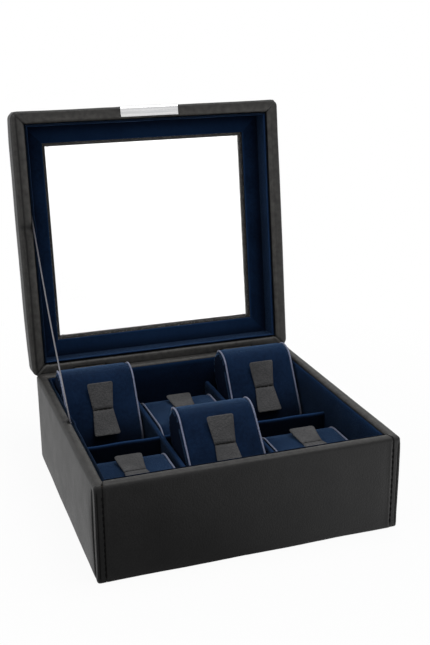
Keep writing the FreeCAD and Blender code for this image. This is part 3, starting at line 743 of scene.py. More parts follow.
# The linings of the base: cards covered in navy velvet, glued to the inside of the walls and the floor. The
# velvet is folded over the cards' top edges; each fold carries a painted highlight along its inner edge, and
# painted shade lies on the glued side of each fold and deepens down the face. Beside the ribbon the left card
# stands off the wall a little.
LINING = 2.0
LINING_DROP = 1.0
LINING_FOLD_RADIUS = 0.6
LINING_BACK_RADIUS = 0.4
LINING_EDGE_GAP = 1.1
LINING_EDGE_REACH = 5.0
LINING_STEP = 3.0
LINING_ROWS = 68
LINING_SOFTNESS = 0.12
LINING_SOFTNESS_LENGTH = 26.0
LINING_SEED = 40
HIGHLIGHT_REACH = 0.3
EDGE_SHADE_REACH = 2.0
DEEP_SHADE = 0.6
DEEP_SHADE_REACH = 16.0
POCKET_DEPTH = 0.6
POCKET_REACH = 5.0
POCKET_TOP_SHARE = 0.25
NO_POCKET = 1e6
VELVET_DARK = (0.0017, 0.0059, 0.0190, 1)
VELVET_PALE = (0.0052, 0.0163, 0.046, 1)
VELVET_HIGHLIGHT = (0.009, 0.030, 0.085, 1)
VELVET_SHADED = (0.0005, 0.0014, 0.0045, 1)
VELVET_SHEEN = (0.27, 0.49, 0.88, 1)
# The cards' velvet has little sheen, so that the walls stay darker, as in shade.
CARD_SHEEN = 0.14
NAP_PER_METRE = 38
PATCHES_PER_METRE = 420
PATCH_SHARE = 0.7
PILE_PER_METRE = 3200
SQUARE = np.zeros(4)


def velvet_finish(name, sheen):
    """Velvet: a nap brushed in patches, short pile as fine noise, and a blue sheen. A painted highlight where
    the piece is marked for one, and painted shade where it is marked as shade."""
    finish, tree, shader = new_finish(
        name,
        Roughness=0.9,
        Specular_IOR_Level=0.05,
        Sheen_Weight=sheen,
        Sheen_Roughness=0.38,
        Sheen_Tint=VELVET_SHEEN,
    )
    patches = combine(tree, "MULTIPLY", clouds(tree, PATCHES_PER_METRE, detail=4.0), PATCH_SHARE)
    nap = combine(tree, "ADD", clouds(tree, NAP_PER_METRE, detail=3.0), patches)
    pile = clouds(tree, PILE_PER_METRE)
    brushed = combine(tree, "MULTIPLY", nap, between(tree, pile, 0.5, 1.0))
    colour = colour_between(tree, brushed, VELVET_DARK, VELVET_PALE)
    colour = colour_between(tree, marked(tree, "painted_highlight"), colour, VELVET_HIGHLIGHT)
    colour = colour_between(tree, marked(tree, "shade"), colour, VELVET_SHADED)
    tree.links.new(colour, shader.inputs["Base Color"])
    emboss(tree, shader, pile, depth=0.00012)
    return finish


def lining_loop(low, high):
    """Section of a lining card (inward, up): up the back, which draws away from the wall near the top, over
    the folded edge and down the velvet face."""
    return bent_line(
        [
            (WALL, low, 0),
            (WALL, high - LINING_EDGE_REACH, 0),
            (WALL + LINING_EDGE_GAP, high, LINING_BACK_RADIUS),
            (WALL + LINING, high, LINING_FOLD_RADIUS),
            (WALL + LINING, low, 0),
        ],
        LINING_STEP,
    )


def lining_card(turn, loop, pocket_y, seed):
    """A lining carried along one wall between its mitres, with soft unevenness on its face and, round a
    pocket's place, pushed off the wall most at its folded edge, which is where the face turns level. Returns
    its loops and their marks."""
    inward, height = loop.T
    face = np.clip((inward - WALL) / LINING, 0, 1)
    place = np.linspace(-1, 1, LINING_ROWS)[:, None]
    x, y = wall_plan(turn, place, inward, BASE_SIZE, SQUARE)
    edge = height[np.argmax(face * bell(np.gradient(height), 1.0))]
    from_edge = np.abs(height - edge)
    up_to_edge = bell(from_edge / np.ptp(height), POCKET_TOP_SHARE)
    bulge = POCKET_DEPTH * bell(y - pocket_y, POCKET_REACH) * up_to_edge
    uneven = LINING_SOFTNESS * ripple(on_grid(x, y, height), LINING_SOFTNESS_LENGTH, seed) * face
    x, y = wall_plan(turn, place, inward + uneven + bulge, BASE_SIZE, SQUARE)
    # Painted shade on the glued side of the fold, deepening down the face, and a painted highlight along the
    # fold's inner edge.
    edge_shade = bell(from_edge, EDGE_SHADE_REACH) * (1 - face**3)
    deep_shade = DEEP_SHADE * np.clip(from_edge / DEEP_SHADE_REACH, 0, 1)
    marks = {"painted_highlight": bell(from_edge, HIGHLIGHT_REACH) * face**4, "shade": np.maximum(edge_shade, deep_shade)}
    return on_grid(x, y, height), marks


navy_velvet = velvet_finish("navy_velvet", CARD_SHEEN)
dress(["floor_lining"], navy_velvet)
lining_low, lining_high = (corner[2] for corner in box_of("left_lining"))
for turn, side in enumerate(SIDES):
    pocket = RIBBON_BASE_Y if side == "left" else NO_POCKET
    loops, marks = lining_card(turn, lining_loop(lining_low, lining_high), pocket, LINING_SEED + turn)
    piece = closed_skin(side + "_velvet_lining", loops, navy_velvet, marks)
    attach(piece, "base")
    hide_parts(side + "_lining")

# The dividers: velvet-covered cards that stand on the floor and cross at half laps, so that the two between
# the columns run through on top. A painted highlight runs along their rounded top edges, fainter on the two
# between the columns, and painted shade lies on their sides below it.
DIVIDER_FOLD_RADIUS = 1.75
DIVIDER_ROWS = 40
DIVIDER_SOFTNESS = 0.16
DIVIDER_SOFTNESS_LENGTH = 30.0
DIVIDER_LAP_GAP = 0.1
DIVIDER_SHADE = 0.85
DIVIDER_SHADE_REACH = 1.6
COLUMN_HIGHLIGHT = 0.35
ROW_SEED = 50
COLUMN_SEED = 55


def standing_card(start, end, low, high, seed):
    """A card along a straight line in plan: its section, round along the top, carried from start to end,
    with soft unevenness across it. Returns its loops, where a painted highlight goes along its top and where
    painted shade goes below it."""
    half = divider_half
    top_corners = [(-half, high, DIVIDER_FOLD_RADIUS), (half, high, DIVIDER_FOLD_RADIUS)]
    loop = bent_line([(-half, low, 0), *top_corners, (half, low, 0)], LINING_STEP)
    along = (end - start) / np.linalg.norm(end - start)
    line = start + np.linspace(0, 1, DIVIDER_ROWS)[:, None] * (end - start)
    square = np.array([-along[1], along[0]])
    sway = DIVIDER_SOFTNESS * ripple(on_grid(*line.T, high), DIVIDER_SOFTNESS_LENGTH, seed)
    plan = line[:, None] + (loop[:, :1] + sway[:, None, None]) * square
    height = loop[:, 1] + sway[:, None] * np.clip((loop[:, 1] - low) / (high - low), 0, 1) ** 3
    below = high - loop[:, 1]
    painted_highlight = bell(below, HIGHLIGHT_REACH)
    shade = DIVIDER_SHADE * np.clip(below / DIVIDER_SHADE_REACH, 0, 1)
    return np.concatenate([plan, height[..., None]], -1), painted_highlight, shade


row_low, row_high = box_of("row_divider")
column_low, column_high = box_of("right_divider")
divider_half = (row_high[1] - row_low[1]) / 2
column_near, column_far = column_low[0] - DIVIDER_LAP_GAP, column_high[0] + DIVIDER_LAP_GAP
row_ends = ((row_low[0], -column_far), (-column_near, column_near), (column_far, row_high[0]))
cards = [
    standing_card(np.array([start, 0]), np.array([end, 0]), row_low[2], row_high[2], ROW_SEED + number)
    for number, (start, end) in enumerate(row_ends)
]
row_loops = np.stack([loops for loops, painted_highlight, shade in cards])
marks = {"painted_highlight": cards[0][1], "shade": cards[0][2]}
piece = closed_skin("row_velvet_divider", row_loops, navy_velvet, marks)
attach(piece, "base")
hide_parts("row_divider")
for side, sign in HANDS:
    x = sign * (column_low[0] + column_high[0]) / 2
    ends = (np.array([x, column_low[1]]), np.array([x, column_high[1]]))
    loops, painted_highlight, shade = standing_card(*ends, column_low[2], column_high[2], COLUMN_SEED + sign)
    marks = {"painted_highlight": COLUMN_HIGHLIGHT * painted_highlight, "shade": shade}
    piece = closed_skin(side + "_velvet_divider", loops, navy_velvet, marks)
    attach(piece, "base")
    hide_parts(side + "_divider")

# The leather of the lid: four lengths round the rails, over the rim and in round the window's edge, folded
# and glued to mitres at the corners. The lid stands out past the base all round but at the hinges. A crease
# runs along each side where the leather is pressed round the rail. The rims and the window's edge carry a
# painted highlight, and the side rims' creases and the ribbon's notch painted shade.
LID_HEIGHT = 25.0
LID_RIM = 2 * AXIS_Z - RIM_HEIGHT
LID_OVERHANG = base_low[0] - box_of("lid_left_cover")[0][0]
LID_SIZE = BASE_SIZE + 2 * LID_OVERHANG
LID_RIM_WIDTH = WALL + LID_OVERHANG
LID_EDGE_RADIUS = 10.0
LID_RIM_RADIUS = 2.2
LID_RADII = np.array([5.5, 5.5, 7.0, 7.0])
LID_STEP = 1.2
LID_FINE_END = 6.0
LID_FINE_STEP = 2 * FINE_STEP
LID_CORNER_STEPS = 8
LID_SOFT_SEED = 71
LID_SLACK_SEED = 81
LID_CALM_END = 3.0
WINDOW_MARGIN = 25.25 + LID_OVERHANG
WINDOW_EDGE_RADIUS = 1.2
WINDOW_LIP_RADIUS = 0.3
WINDOW_BOARD = 2.0
WINDOW_TURN_IN = 6.0
WINDOW_TURN_IN_DROP = 0.03
WINDOW_TURN_IN_RISE = 0.4
WINDOW_CALM_REACH = 5.0
WINDOW_SHINE = 1.0
WINDOW_SHINE_REACH = 3.5
MITRE_CREASE = 0.4
MITRE_REACH = 0.6
MITRE_FADE = 2.0
MITRE_DULL = 0.8
MITRE_LIP = 0.35
MITRE_LIP_PLACE = 1.7
SIDE_CREASE = 0.3
SIDE_CREASE_HEIGHT = 6.0
SIDE_CREASE_REACH = 0.8
RIM_CREASE = 0.4
RIM_CREASE_PLACES = {"left": 3.4, "right": 5.2}
RIM_CREASE_REACH = 0.55
RIM_CREASE_LIP = 0.7
RIM_CREASE_END = 5.0
RIM_CREASE_SHADE = 0.7
RIM_SHINE = 0.15
PUFF_POWER = 4
PUFF = {"front": -0.3, "right": 0.2, "rear": 0.0, "left": 1.2}
RIBBON_LID_REACH = 115.7
PLATE_WIDTH = 46.0
PLATE_HEIGHT = 14.0
PLATE_REACH = 8.0
PLATE_BED = 0.95
BED_EDGE = 0.25

ribbon_lid_y = BASE_SIZE[1] / 2 - RIBBON_LID_REACH
lid_top = LID_RIM + LID_HEIGHT
lid_window = lid_top - LEATHER - WINDOW_BOARD
barrel_ends = BARREL_HALF + BARREL_END_ROOM - np.array([0, 1])
FINE_PLACES = {
    "front": PLATE_WIDTH / 2 + BED_EDGE * np.arange(3),
    "rear": HINGE_MIDDLE + np.concatenate([-barrel_ends, barrel_ends]),
}


def lid_section(rim_radius):
    """Section of the lid's leather (inward, up), down the outside from the inner rim to under the window's
    edge and back along the inside, as two_faced gives it."""
    turned_in = WINDOW_MARGIN - WINDOW_TURN_IN
    low, high = lid_window - WINDOW_TURN_IN_DROP, lid_window + WINDOW_TURN_IN_RISE
    outside = bent_line(
        [
            (LID_RIM_WIDTH, LID_RIM + FLANGE, 0),
            (LID_RIM_WIDTH, LID_RIM, RIM_INNER_RADIUS),
            (0, LID_RIM, rim_radius),
            (0, lid_top, LID_EDGE_RADIUS),
            (WINDOW_MARGIN, lid_top, WINDOW_EDGE_RADIUS),
            (WINDOW_MARGIN, low, WINDOW_LIP_RADIUS),
            (turned_in, low, 0),
        ],
        LID_STEP,
    )
    inside = bent_line(
        [
            (turned_in, high, 0),
            (WINDOW_MARGIN - LEATHER, high, 0),
            (WINDOW_MARGIN - LEATHER, lid_top - LEATHER, 0),
            (LEATHER, lid_top - LEATHER, LID_EDGE_RADIUS - LEATHER),
            (LEATHER, LID_RIM + LEATHER, rim_radius - LEATHER),
            (LID_RIM_WIDTH - LEATHER, LID_RIM + LEATHER, RIM_INNER_RADIUS - LEATHER),
            (LID_RIM_WIDTH - LEATHER, LID_RIM + FLANGE, 0),
        ],
        LID_STEP,
    )
    return two_faced(outside, inside)


def lid_run(turn, side):
    """Places along one side of the lid from mitre to mitre, closer together near the corners and at the ends
    of the plate and the barrels."""
    start, stop = LID_SIZE[turn % 2] / 2 - LID_RADII[[turn, (turn + 1) % 4]]
    fine = np.arange(0, LID_FINE_END, LID_FINE_STEP)
    plain = np.arange(LID_FINE_END - start, stop - LID_FINE_END + 1, LEATHER_STEP)
    extra = FINE_PLACES.get(side, np.zeros(0))
    straight = np.unique(np.round(np.concatenate([fine - start, plain, stop - fine, extra, -extra]), 3))
    corner = np.linspace(1, 2, LID_CORNER_STEPS + 1)[1:]
    return np.concatenate([-corner[::-1], 2 * (straight + start) / (start + stop) - 1, corner])[:, None]


def inside_of(value, limit):
    """1 where a value lies within a limit, falling to 0 across a bed's soft edge."""
    return np.clip((limit + BED_EDGE - value) / BED_EDGE, 0, 1)


for turn, side in enumerate(SIDES):
    lid_loop, lid_push, lid_front = lid_section(REAR_RIM_RADIUS if side == "rear" else LID_RIM_RADIUS)
    lid_inward, lid_height = lid_loop.T
    above_rim = lid_height - LID_RIM
    on_lid_rim = bell(above_rim, RIM_BAND_REACH) * lid_front
    on_side = bell(lid_inward, WALL / 2)
    to_inner_rim = np.clip(lid_inward / LID_RIM_WIDTH, 0, 1) ** 2
    place = lid_run(turn, side)
    inward = lid_inward + 0 * place
    if side == "rear":
        drawn_in = LID_OVERHANG * np.clip(2 - np.abs(place), 0, 1)
        inward = inward + drawn_in * np.clip(1 - inward / LID_RIM_WIDTH, 0, 1)
    x, y = wall_plan(turn, place, inward, LID_SIZE, LID_RADII)
    length, width = LID_SIZE[[turn % 2, (turn + 1) % 2]]
    along, across = np.abs((x, y) if turn % 2 == 0 else (y, x))
    from_mitre = (length / 2 - along - width / 2 + across) / math.sqrt(2)

    near_mitre = bell(from_mitre, MITRE_REACH)
    past_edge = np.clip((lid_inward - LID_EDGE_RADIUS) / MITRE_FADE, 0, 1)
    lift = -MITRE_CREASE * near_mitre * np.maximum(bell(above_rim, MITRE_FADE), past_edge)
    if turn % 2 == 0:
        lift += MITRE_LIP * bell(from_mitre - MITRE_LIP_PLACE, MITRE_REACH)
    lift -= SIDE_CREASE * bell(above_rim - SIDE_CREASE_HEIGHT, SIDE_CREASE_REACH) * on_side
    lift += PUFF[side] * on_side * (1 - (2 * along / length) ** PUFF_POWER)
    slack = np.clip(from_mitre / LID_CALM_END, 0, 1) * (1 - RIM_CALM * on_lid_rim)
    slack = slack * (1 - bell(lid_inward - WINDOW_MARGIN, WINDOW_CALM_REACH))
    lift += unevenness(on_grid(x, y, lid_height), LID_SOFT_SEED + turn, LID_SLACK_SEED + turn) * slack

    # A painted highlight on the rim, strongest at its inner edge and dulled at the mitres, more of it on the
    # front rim and on the outer side of the side rims' creases, and along the window's edge but on the left.
    # Painted shade in the side rims' creases and in the ribbon's notch.
    stretch = on_lid_rim * (HIGHLIGHT_OUTSIDE + (1 - HIGHLIGHT_OUTSIDE) * to_inner_rim)
    stretch = stretch * (1 - MITRE_DULL * near_mitre)
    painted_shade = 0.0
    if side in RIM_CREASE_PLACES:
        from_crease = lid_inward - RIM_CREASE_PLACES[side]
        crease = bell(from_crease, RIM_CREASE_REACH)
        crease = crease - RIM_CREASE_LIP * bell(from_crease + 2 * RIM_CREASE_REACH, RIM_CREASE_REACH)
        lift -= RIM_CREASE * crease * on_lid_rim * np.clip(from_mitre / RIM_CREASE_END, 0, 1)
        painted_shade = RIM_CREASE_SHADE * np.clip(crease, 0, 1) * on_lid_rim
        stretch = stretch + RIM_SHINE * on_lid_rim * (from_crease < 0)
    if side == "left":
        by_ribbon = bell(y - ribbon_lid_y, NOTCH_REACH) * on_lid_rim
        lift -= NOTCH * by_ribbon * to_inner_rim
        painted_shade = np.maximum(by_ribbon * to_inner_rim, painted_shade)
        stretch = stretch * (1 - by_ribbon)
    else:
        stretch = stretch + WINDOW_SHINE * bell(lid_inward - WINDOW_MARGIN, WINDOW_SHINE_REACH)
    if side == "front":
        stretch = stretch + RIM_SHINE * on_lid_rim
        bed = inside_of(np.abs(x), PLATE_WIDTH / 2)
        bed = bed * inside_of(above_rim, PLATE_HEIGHT) * inside_of(lid_inward, PLATE_REACH)
        lift = lift * (1 - bed) - PLATE_BED * bed

    lift = lift * ((lid_height > lid_window + WINDOW_BOARD) | (lid_inward < LID_RIM_WIDTH + LEATHER))
    x, y = wall_plan(turn, place, inward + lift * lid_push[:, 0], LID_SIZE, LID_RADII)
    room = BARREL_ROOM + BARREL_ROOM_INSIDE * (1 - lid_front)
    loops = open_lid(clear_of_barrels(on_grid(x, y, lid_height + lift * lid_push[:, 1]), room))
    marks = {"stretch": stretch, "painted_shade": painted_shade}
    piece = closed_skin("lid_" + side + "_leather", loops, black_leather, marks)
    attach(piece, "lid")
    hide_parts("lid_" + side + "_cover")

# The window: a clear glass pane, held against the leather round the opening by the flat velvet frame. The
# board and the rails under the leather are blacked, as their edges lie close to the glass and the mitres.
BLACKED = (0.012, 0.012, 0.012, 1)

blacked_board, tree, shader = new_finish("blacked_board", Base_Color=BLACKED, Roughness=0.8)
dress(["lid_top_frame"] + ["lid_" + side + "_rail" for side in SIDES], blacked_board)
glass, tree, shader = new_finish(
    "window_glass", Base_Color=(1, 1, 1, 1), Roughness=0.0, IOR=1.47, Transmission_Weight=1.0, Alpha=0.12
)
dress(["lid_glass"], glass)

# The linings of the lid: velvet-covered cards round the inside of its rim, folded at the rim as the base's
# are, with the same painted highlight and shade, up to the flat frame under the glass. The left card stands
# off the rim where the ribbon is tucked in. The frame is set back from the window's edge, so that a lip of
# leather shows round the glass. The frame carries a painted highlight along its folded edge and over its
# front and rear strips, and painted shade where it meets the linings.
LID_LINING_SEED = 90
LID_FRAME_DEPTH = 18.0
FRAME_SETBACK = 2.6
FRAME_ROWS = 40
FRAME_FOLD_RADIUS = 0.8
FRAME_EDGE_HIGHLIGHT = 0.5
FRAME_STRIP_HIGHLIGHT = 0.4
FRAME_SHADE = 0.7
FRAME_SHADE_REACH = 5.0

for turn, side in enumerate(SIDES):
    loop = lining_loop(-LID_RIM - LID_FRAME_DEPTH, -LID_RIM - LINING_DROP)
    pocket = ribbon_lid_y if side == "left" else NO_POCKET
    loops, marks = lining_card(turn, loop, pocket, LID_LINING_SEED + turn)
    loops = open_lid(loops * (1, 1, -1))
    piece = closed_skin("lid_" + side + "_velvet_lining", loops, navy_velvet, marks)
    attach(piece, "lid")
    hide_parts("lid_" + side + "_lining")

frame_low = LID_RIM + LID_FRAME_DEPTH
frame_edge = WINDOW_MARGIN - LID_OVERHANG - FRAME_SETBACK
frame_loop = bent_line(
    [
        (WALL, frame_low + LINING, 0),
        (frame_edge, frame_low + LINING, LINING_BACK_RADIUS),
        (frame_edge, frame_low, FRAME_FOLD_RADIUS),
        (WALL, frame_low, 0),
    ],
    LID_STEP,
)
frame_inward, frame_height = frame_loop.T
turns = np.arange(4)[:, None, None]
x, y = wall_plan(turns, np.linspace(-1, 1, FRAME_ROWS)[:, None], frame_inward, BASE_SIZE, SQUARE)
# A painted highlight along the frame's folded edge and over its front and rear strips, and painted shade
# where it meets the linings.
folded = FRAME_EDGE_HIGHLIGHT * bell(frame_inward - frame_edge, FRAME_FOLD_RADIUS)
marks = {
    "painted_highlight": np.maximum(folded, FRAME_STRIP_HIGHLIGHT * (turns % 2 == 0)),
    "shade": FRAME_SHADE * bell(frame_inward - WALL - LINING, FRAME_SHADE_REACH),
}
piece = closed_skin(
    "lid_velvet_frame", open_lid(on_grid(x, y, frame_height)), navy_velvet, marks
)
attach(piece, "lid")
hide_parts("lid_frame_lining")

# The plate: a strip of bare bright metal, bent round the middle of the lid's front rim and let into the
# leather, so that it stands barely proud. It is brushed from side to side, and its edges are eased.
PLATE_THICKNESS = 0.8
PLATE_PROUD = 0.12
PLATE_STEP = 1.5
PLATE_COLUMNS = 24
PLATE_EASE = 0.15
PLATE_EASE_ANGLE = 50.0
PLATE_ROUGHNESS = (0.16, 0.3)
PLATE_DARK = (0.56, 0.56, 0.57, 1)
PLATE_PALE = (0.70, 0.70, 0.70, 1)
BRUSHING_PER_METRE = 900

bright_metal, tree, shader = new_finish("bright_plate", Metallic=1.0)
brushing = clouds(tree, BRUSHING_PER_METRE, detail=3.0, stretch=(0.02, 1, 1))
tree.links.new(colour_between(tree, brushing, PLATE_DARK, PLATE_PALE), shader.inputs["Base Color"])
tree.links.new(between(tree, brushing, *PLATE_ROUGHNESS), shader.inputs["Roughness"])
emboss(tree, shader, brushing, depth=0.00001)

plate_inside = PLATE_THICKNESS - PLATE_PROUD
plate_front = bent_line(
    [
        (-PLATE_PROUD, PLATE_HEIGHT, 0),
        (-PLATE_PROUD, -PLATE_PROUD, LID_RIM_RADIUS),
        (PLATE_REACH, -PLATE_PROUD, 0),
    ],
    PLATE_STEP,
)
plate_back = bent_line(
    [
        (PLATE_REACH, plate_inside, 0),
        (plate_inside, plate_inside, LID_RIM_RADIUS - PLATE_THICKNESS),
        (plate_inside, PLATE_HEIGHT, 0),
    ],
    PLATE_STEP,
)
plate_inward, plate_up = np.concatenate([plate_front, plate_back]).T
plate_x = np.linspace(-0.5, 0.5, PLATE_COLUMNS)[:, None] * PLATE_WIDTH
loops = open_lid(on_grid(plate_x, base_low[1] - LID_OVERHANG + plate_inward, LID_RIM + plate_up))
piece = closed_skin("bent_metal_plate", loops, bright_metal)
edge = piece.modifiers.new("eased_edges", "BEVEL")
edge.width = PLATE_EASE * MILLIMETRE
edge.segments = 2
edge.limit_method = "ANGLE"
edge.angle_limit = math.radians(PLATE_EASE_ANGLE)
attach(piece, "lid")
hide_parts("lid_plate")

# The ribbon: a narrow satin ribbon that stops the lid, tucked behind the left lining of the base at one end
# and of the lid at the other. It is pulled nearly straight while the lid stands open.
RIBBON_WIDTH = 4.8
RIBBON_THICKNESS = 0.4
RIBBON_SQUARENESS = 0.5
RIBBON_TUCK = 8.5
RIBBON_BOW = -0.6
RIBBON_NOTCH_SHIFT = 1.0
RIBBON_ROWS = 90
RIBBON_COLUMNS = 24
RIBBON_DARK = (0.020, 0.021, 0.038, 1)
RIBBON_PALE = (0.040, 0.040, 0.066, 1)
WEAVE_PER_METRE = 2600


def squared(wave):
    """A wave between -1 and 1 drawn out towards its ends, which turns a circle into a squarer round."""
    return np.sign(wave) * np.abs(wave) ** RIBBON_SQUARENESS


satin, tree, shader = new_finish("satin_ribbon", Roughness=0.45, Sheen_Weight=0.3)
weave = clouds(tree, WEAVE_PER_METRE, detail=1.0, stretch=(1, 1, 0.15))
tree.links.new(colour_between(tree, weave, RIBBON_DARK, RIBBON_PALE), shader.inputs["Base Color"])
emboss(tree, shader, weave, depth=0.00006)

ribbon_x = sum(corner[0] for corner in box_of("lid_ribbon")) / 2
ribbon_start = np.array([ribbon_x - RIBBON_NOTCH_SHIFT, RIBBON_BASE_Y, lining_high])
ribbon_end = open_lid(np.array([ribbon_x, ribbon_lid_y, LID_RIM + LINING_DROP]))
pull = (ribbon_end - ribbon_start) / np.linalg.norm(ribbon_end - ribbon_start)
tucked_start = ribbon_start - pull * RIBBON_TUCK
tucked_end = ribbon_end + pull * RIBBON_TUCK
share = np.linspace(0, 1, RIBBON_ROWS)[:, None]
ribbon_line = tucked_start + share * (tucked_end - tucked_start)
ribbon_line[:, :1] += RIBBON_BOW * np.sin(math.pi * share) ** 2
around = np.linspace(0, 2 * math.pi, RIBBON_COLUMNS, endpoint=False)[:, None]
across_x = np.array([1.0, 0, 0])
section = RIBBON_WIDTH / 2 * squared(np.cos(around)) * np.cross(across_x, pull)
section = section + RIBBON_THICKNESS / 2 * squared(np.sin(around)) * across_x
piece = closed_skin("satin_lid_ribbon", ribbon_line[:, None] + section, satin)
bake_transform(piece)
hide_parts("lid_ribbon")

# The cushions: foam wrapped in navy velvet, flat above and below, round at both ends, with flat side panels.
# The seams round the side panels hold the velvet down, and the stuffing swells it between them. The side
# panels carry painted shade and take a copy of the velvet without sheen, so that they look darker, and the
# cushions that stand carry painted shade lower down. The faces take a copy with more sheen than the cards'.
SPAN = 40.0
CUSHION_RADIUS = 17.5
CUSHION_TILTS = {"front_middle": 48.0, "rear_left": 59.0, "rear_right": 59.0}
CUSHIONS = [row + "_" + column for row in ("front", "rear") for column in ("left", "middle", "right")]
PAD_ROWS = 24
PAD_COLUMNS = 160
SEAM_DEPTH = 0.9
SEAM_HOLD = 2.0
PANEL_DEPTH = 0.4
PANEL_REACH = 0.4
PANEL_MARGIN = 0.4
PANEL_SHADE = 0.7
FACE_MARGIN = 0.5
FACE_SHEEN = 0.55
LOW_SHADE = 0.8
LOW_SHADE_TOP = 50.0
LOW_SHADE_REACH = 15.0
SWELL_LIMIT = 1.7
SWELL_PRESSURE = 1.2
SWELL_FRAMES = 20
SIMULATION_SCALE = 10
VOXEL = 2.6
PUCKER = 0.16
PUCKER_LENGTH = 7.0
PUCKER_REACH = 4.0
PUCKER_STRETCH = (0.2, 1, 1)
PUCKER_SEED = 120
TAB_SEAT_REACH = 8.0

# The cloth is simulated larger than it is, because its solver suits pieces of about a metre.
simulated = SIMULATION_SCALE * MILLIMETRE


def hoop(share, radius):
    """The cushion's outline from the side, as the share goes once round: a straight run on top, an arc, a run
    below and an arc back."""
    arc = math.pi * CUSHION_RADIUS
    knots = np.cumsum([0, SPAN, arc, SPAN, arc])
    along = share * knots[-1]
    angle = np.interp(along, knots, np.array([0, 0, 1, 1, 2]) * math.pi)
    centre = np.interp(along, knots, np.array([-1, 1, 1, -1, -1]) * SPAN / 2)
    return centre + radius * np.sin(angle), radius * np.cos(angle)


def out_of_core(spots):
    """From the cushion's middle line, on which both round ends are centred, straight out to points."""
    out = spots * (0, 1, 1)
    out[:, 1] -= np.clip(out[:, 1], -SPAN / 2, SPAN / 2)
    return out


def points_of(mesh):
    """A mesh's points as an array."""
    spots = np.empty(len(mesh.vertices) * 3, np.float32)
    mesh.vertices.foreach_get("co", spots)
    return spots.reshape(-1, 3).astype(float)


def even_cloth(piece):
    """Gives the piece a mesh of even squares in place of its own, and returns it."""
    remesh = piece.modifiers.new("even_cloth", "REMESH")
    remesh.mode = "VOXEL"
    remesh.voxel_size = VOXEL * simulated
    bpy.context.view_layer.update()
    even = piece.evaluated_get(bpy.context.evaluated_depsgraph_get())
    cloth_mesh = bpy.data.meshes.new_from_object(even)
    piece.modifiers.clear()
    shell_mesh, piece.data = piece.data, cloth_mesh
    bpy.data.meshes.remove(shell_mesh)
    return cloth_mesh


def swell(piece, held):
    """Blows the piece up as stuffed cloth, with the held points fixed, and returns how far each point has
    moved, in millimetres and no further than the limit."""
    rest = points_of(piece.data)
    piece.vertex_groups.new(name="seams").add(np.flatnonzero(held).tolist(), 1.0, "REPLACE")
    cloth = piece.modifiers.new("stuffing", "CLOTH")
    cloth.settings.use_pressure = True
    cloth.settings.uniform_pressure_force = SWELL_PRESSURE
    cloth.settings.vertex_group_mass = "seams"
    cloth.settings.effector_weights.gravity = 0
    for number in range(SWELL_FRAMES):
        bpy.context.scene.frame_set(number + 1)
    stuffed = piece.evaluated_get(bpy.context.evaluated_depsgraph_get())
    moved = (points_of(stuffed.to_mesh()) - rest) / simulated
    stuffed.to_mesh_clear()
    piece.modifiers.remove(cloth)
    piece.vertex_groups.clear()
    bpy.context.scene.frame_set(1)
    length = np.linalg.norm(moved, axis=1, keepdims=True)
    return moved * np.minimum(1, SWELL_LIMIT / np.maximum(length, 1e-9))


def faces_within(mesh, chosen):
    """1 for each face whose points are all chosen, else 0."""
    corners = np.empty(len(mesh.loops), np.int32)
    starts = np.empty(len(mesh.polygons), np.int32)
    mesh.loops.foreach_get("vertex_index", corners)
    mesh.polygons.foreach_get("loop_start", starts)
    return np.minimum.reduceat(chosen[corners].astype(np.int32), starts)


def cushion_frame(name):
    """Centre of a cushion in millimetres, and the matrix that leans it back if it stands."""
    low, high = box_of(name + "_pad")
    tilt = math.radians(CUSHION_TILTS.get(name, 0.0))
    lean = np.array([(1, 0, 0), (0, math.cos(tilt), -math.sin(tilt)), (0, math.sin(tilt), math.cos(tilt))])
    return (low + high) / 2, lean


def low_shade(name, height):
    """Shade on a cushion that stands: none above a height, full at a reach below it."""
    return LOW_SHADE * np.clip((LOW_SHADE_TOP - height) / LOW_SHADE_REACH, 0, 1) * (name in CUSHION_TILTS)


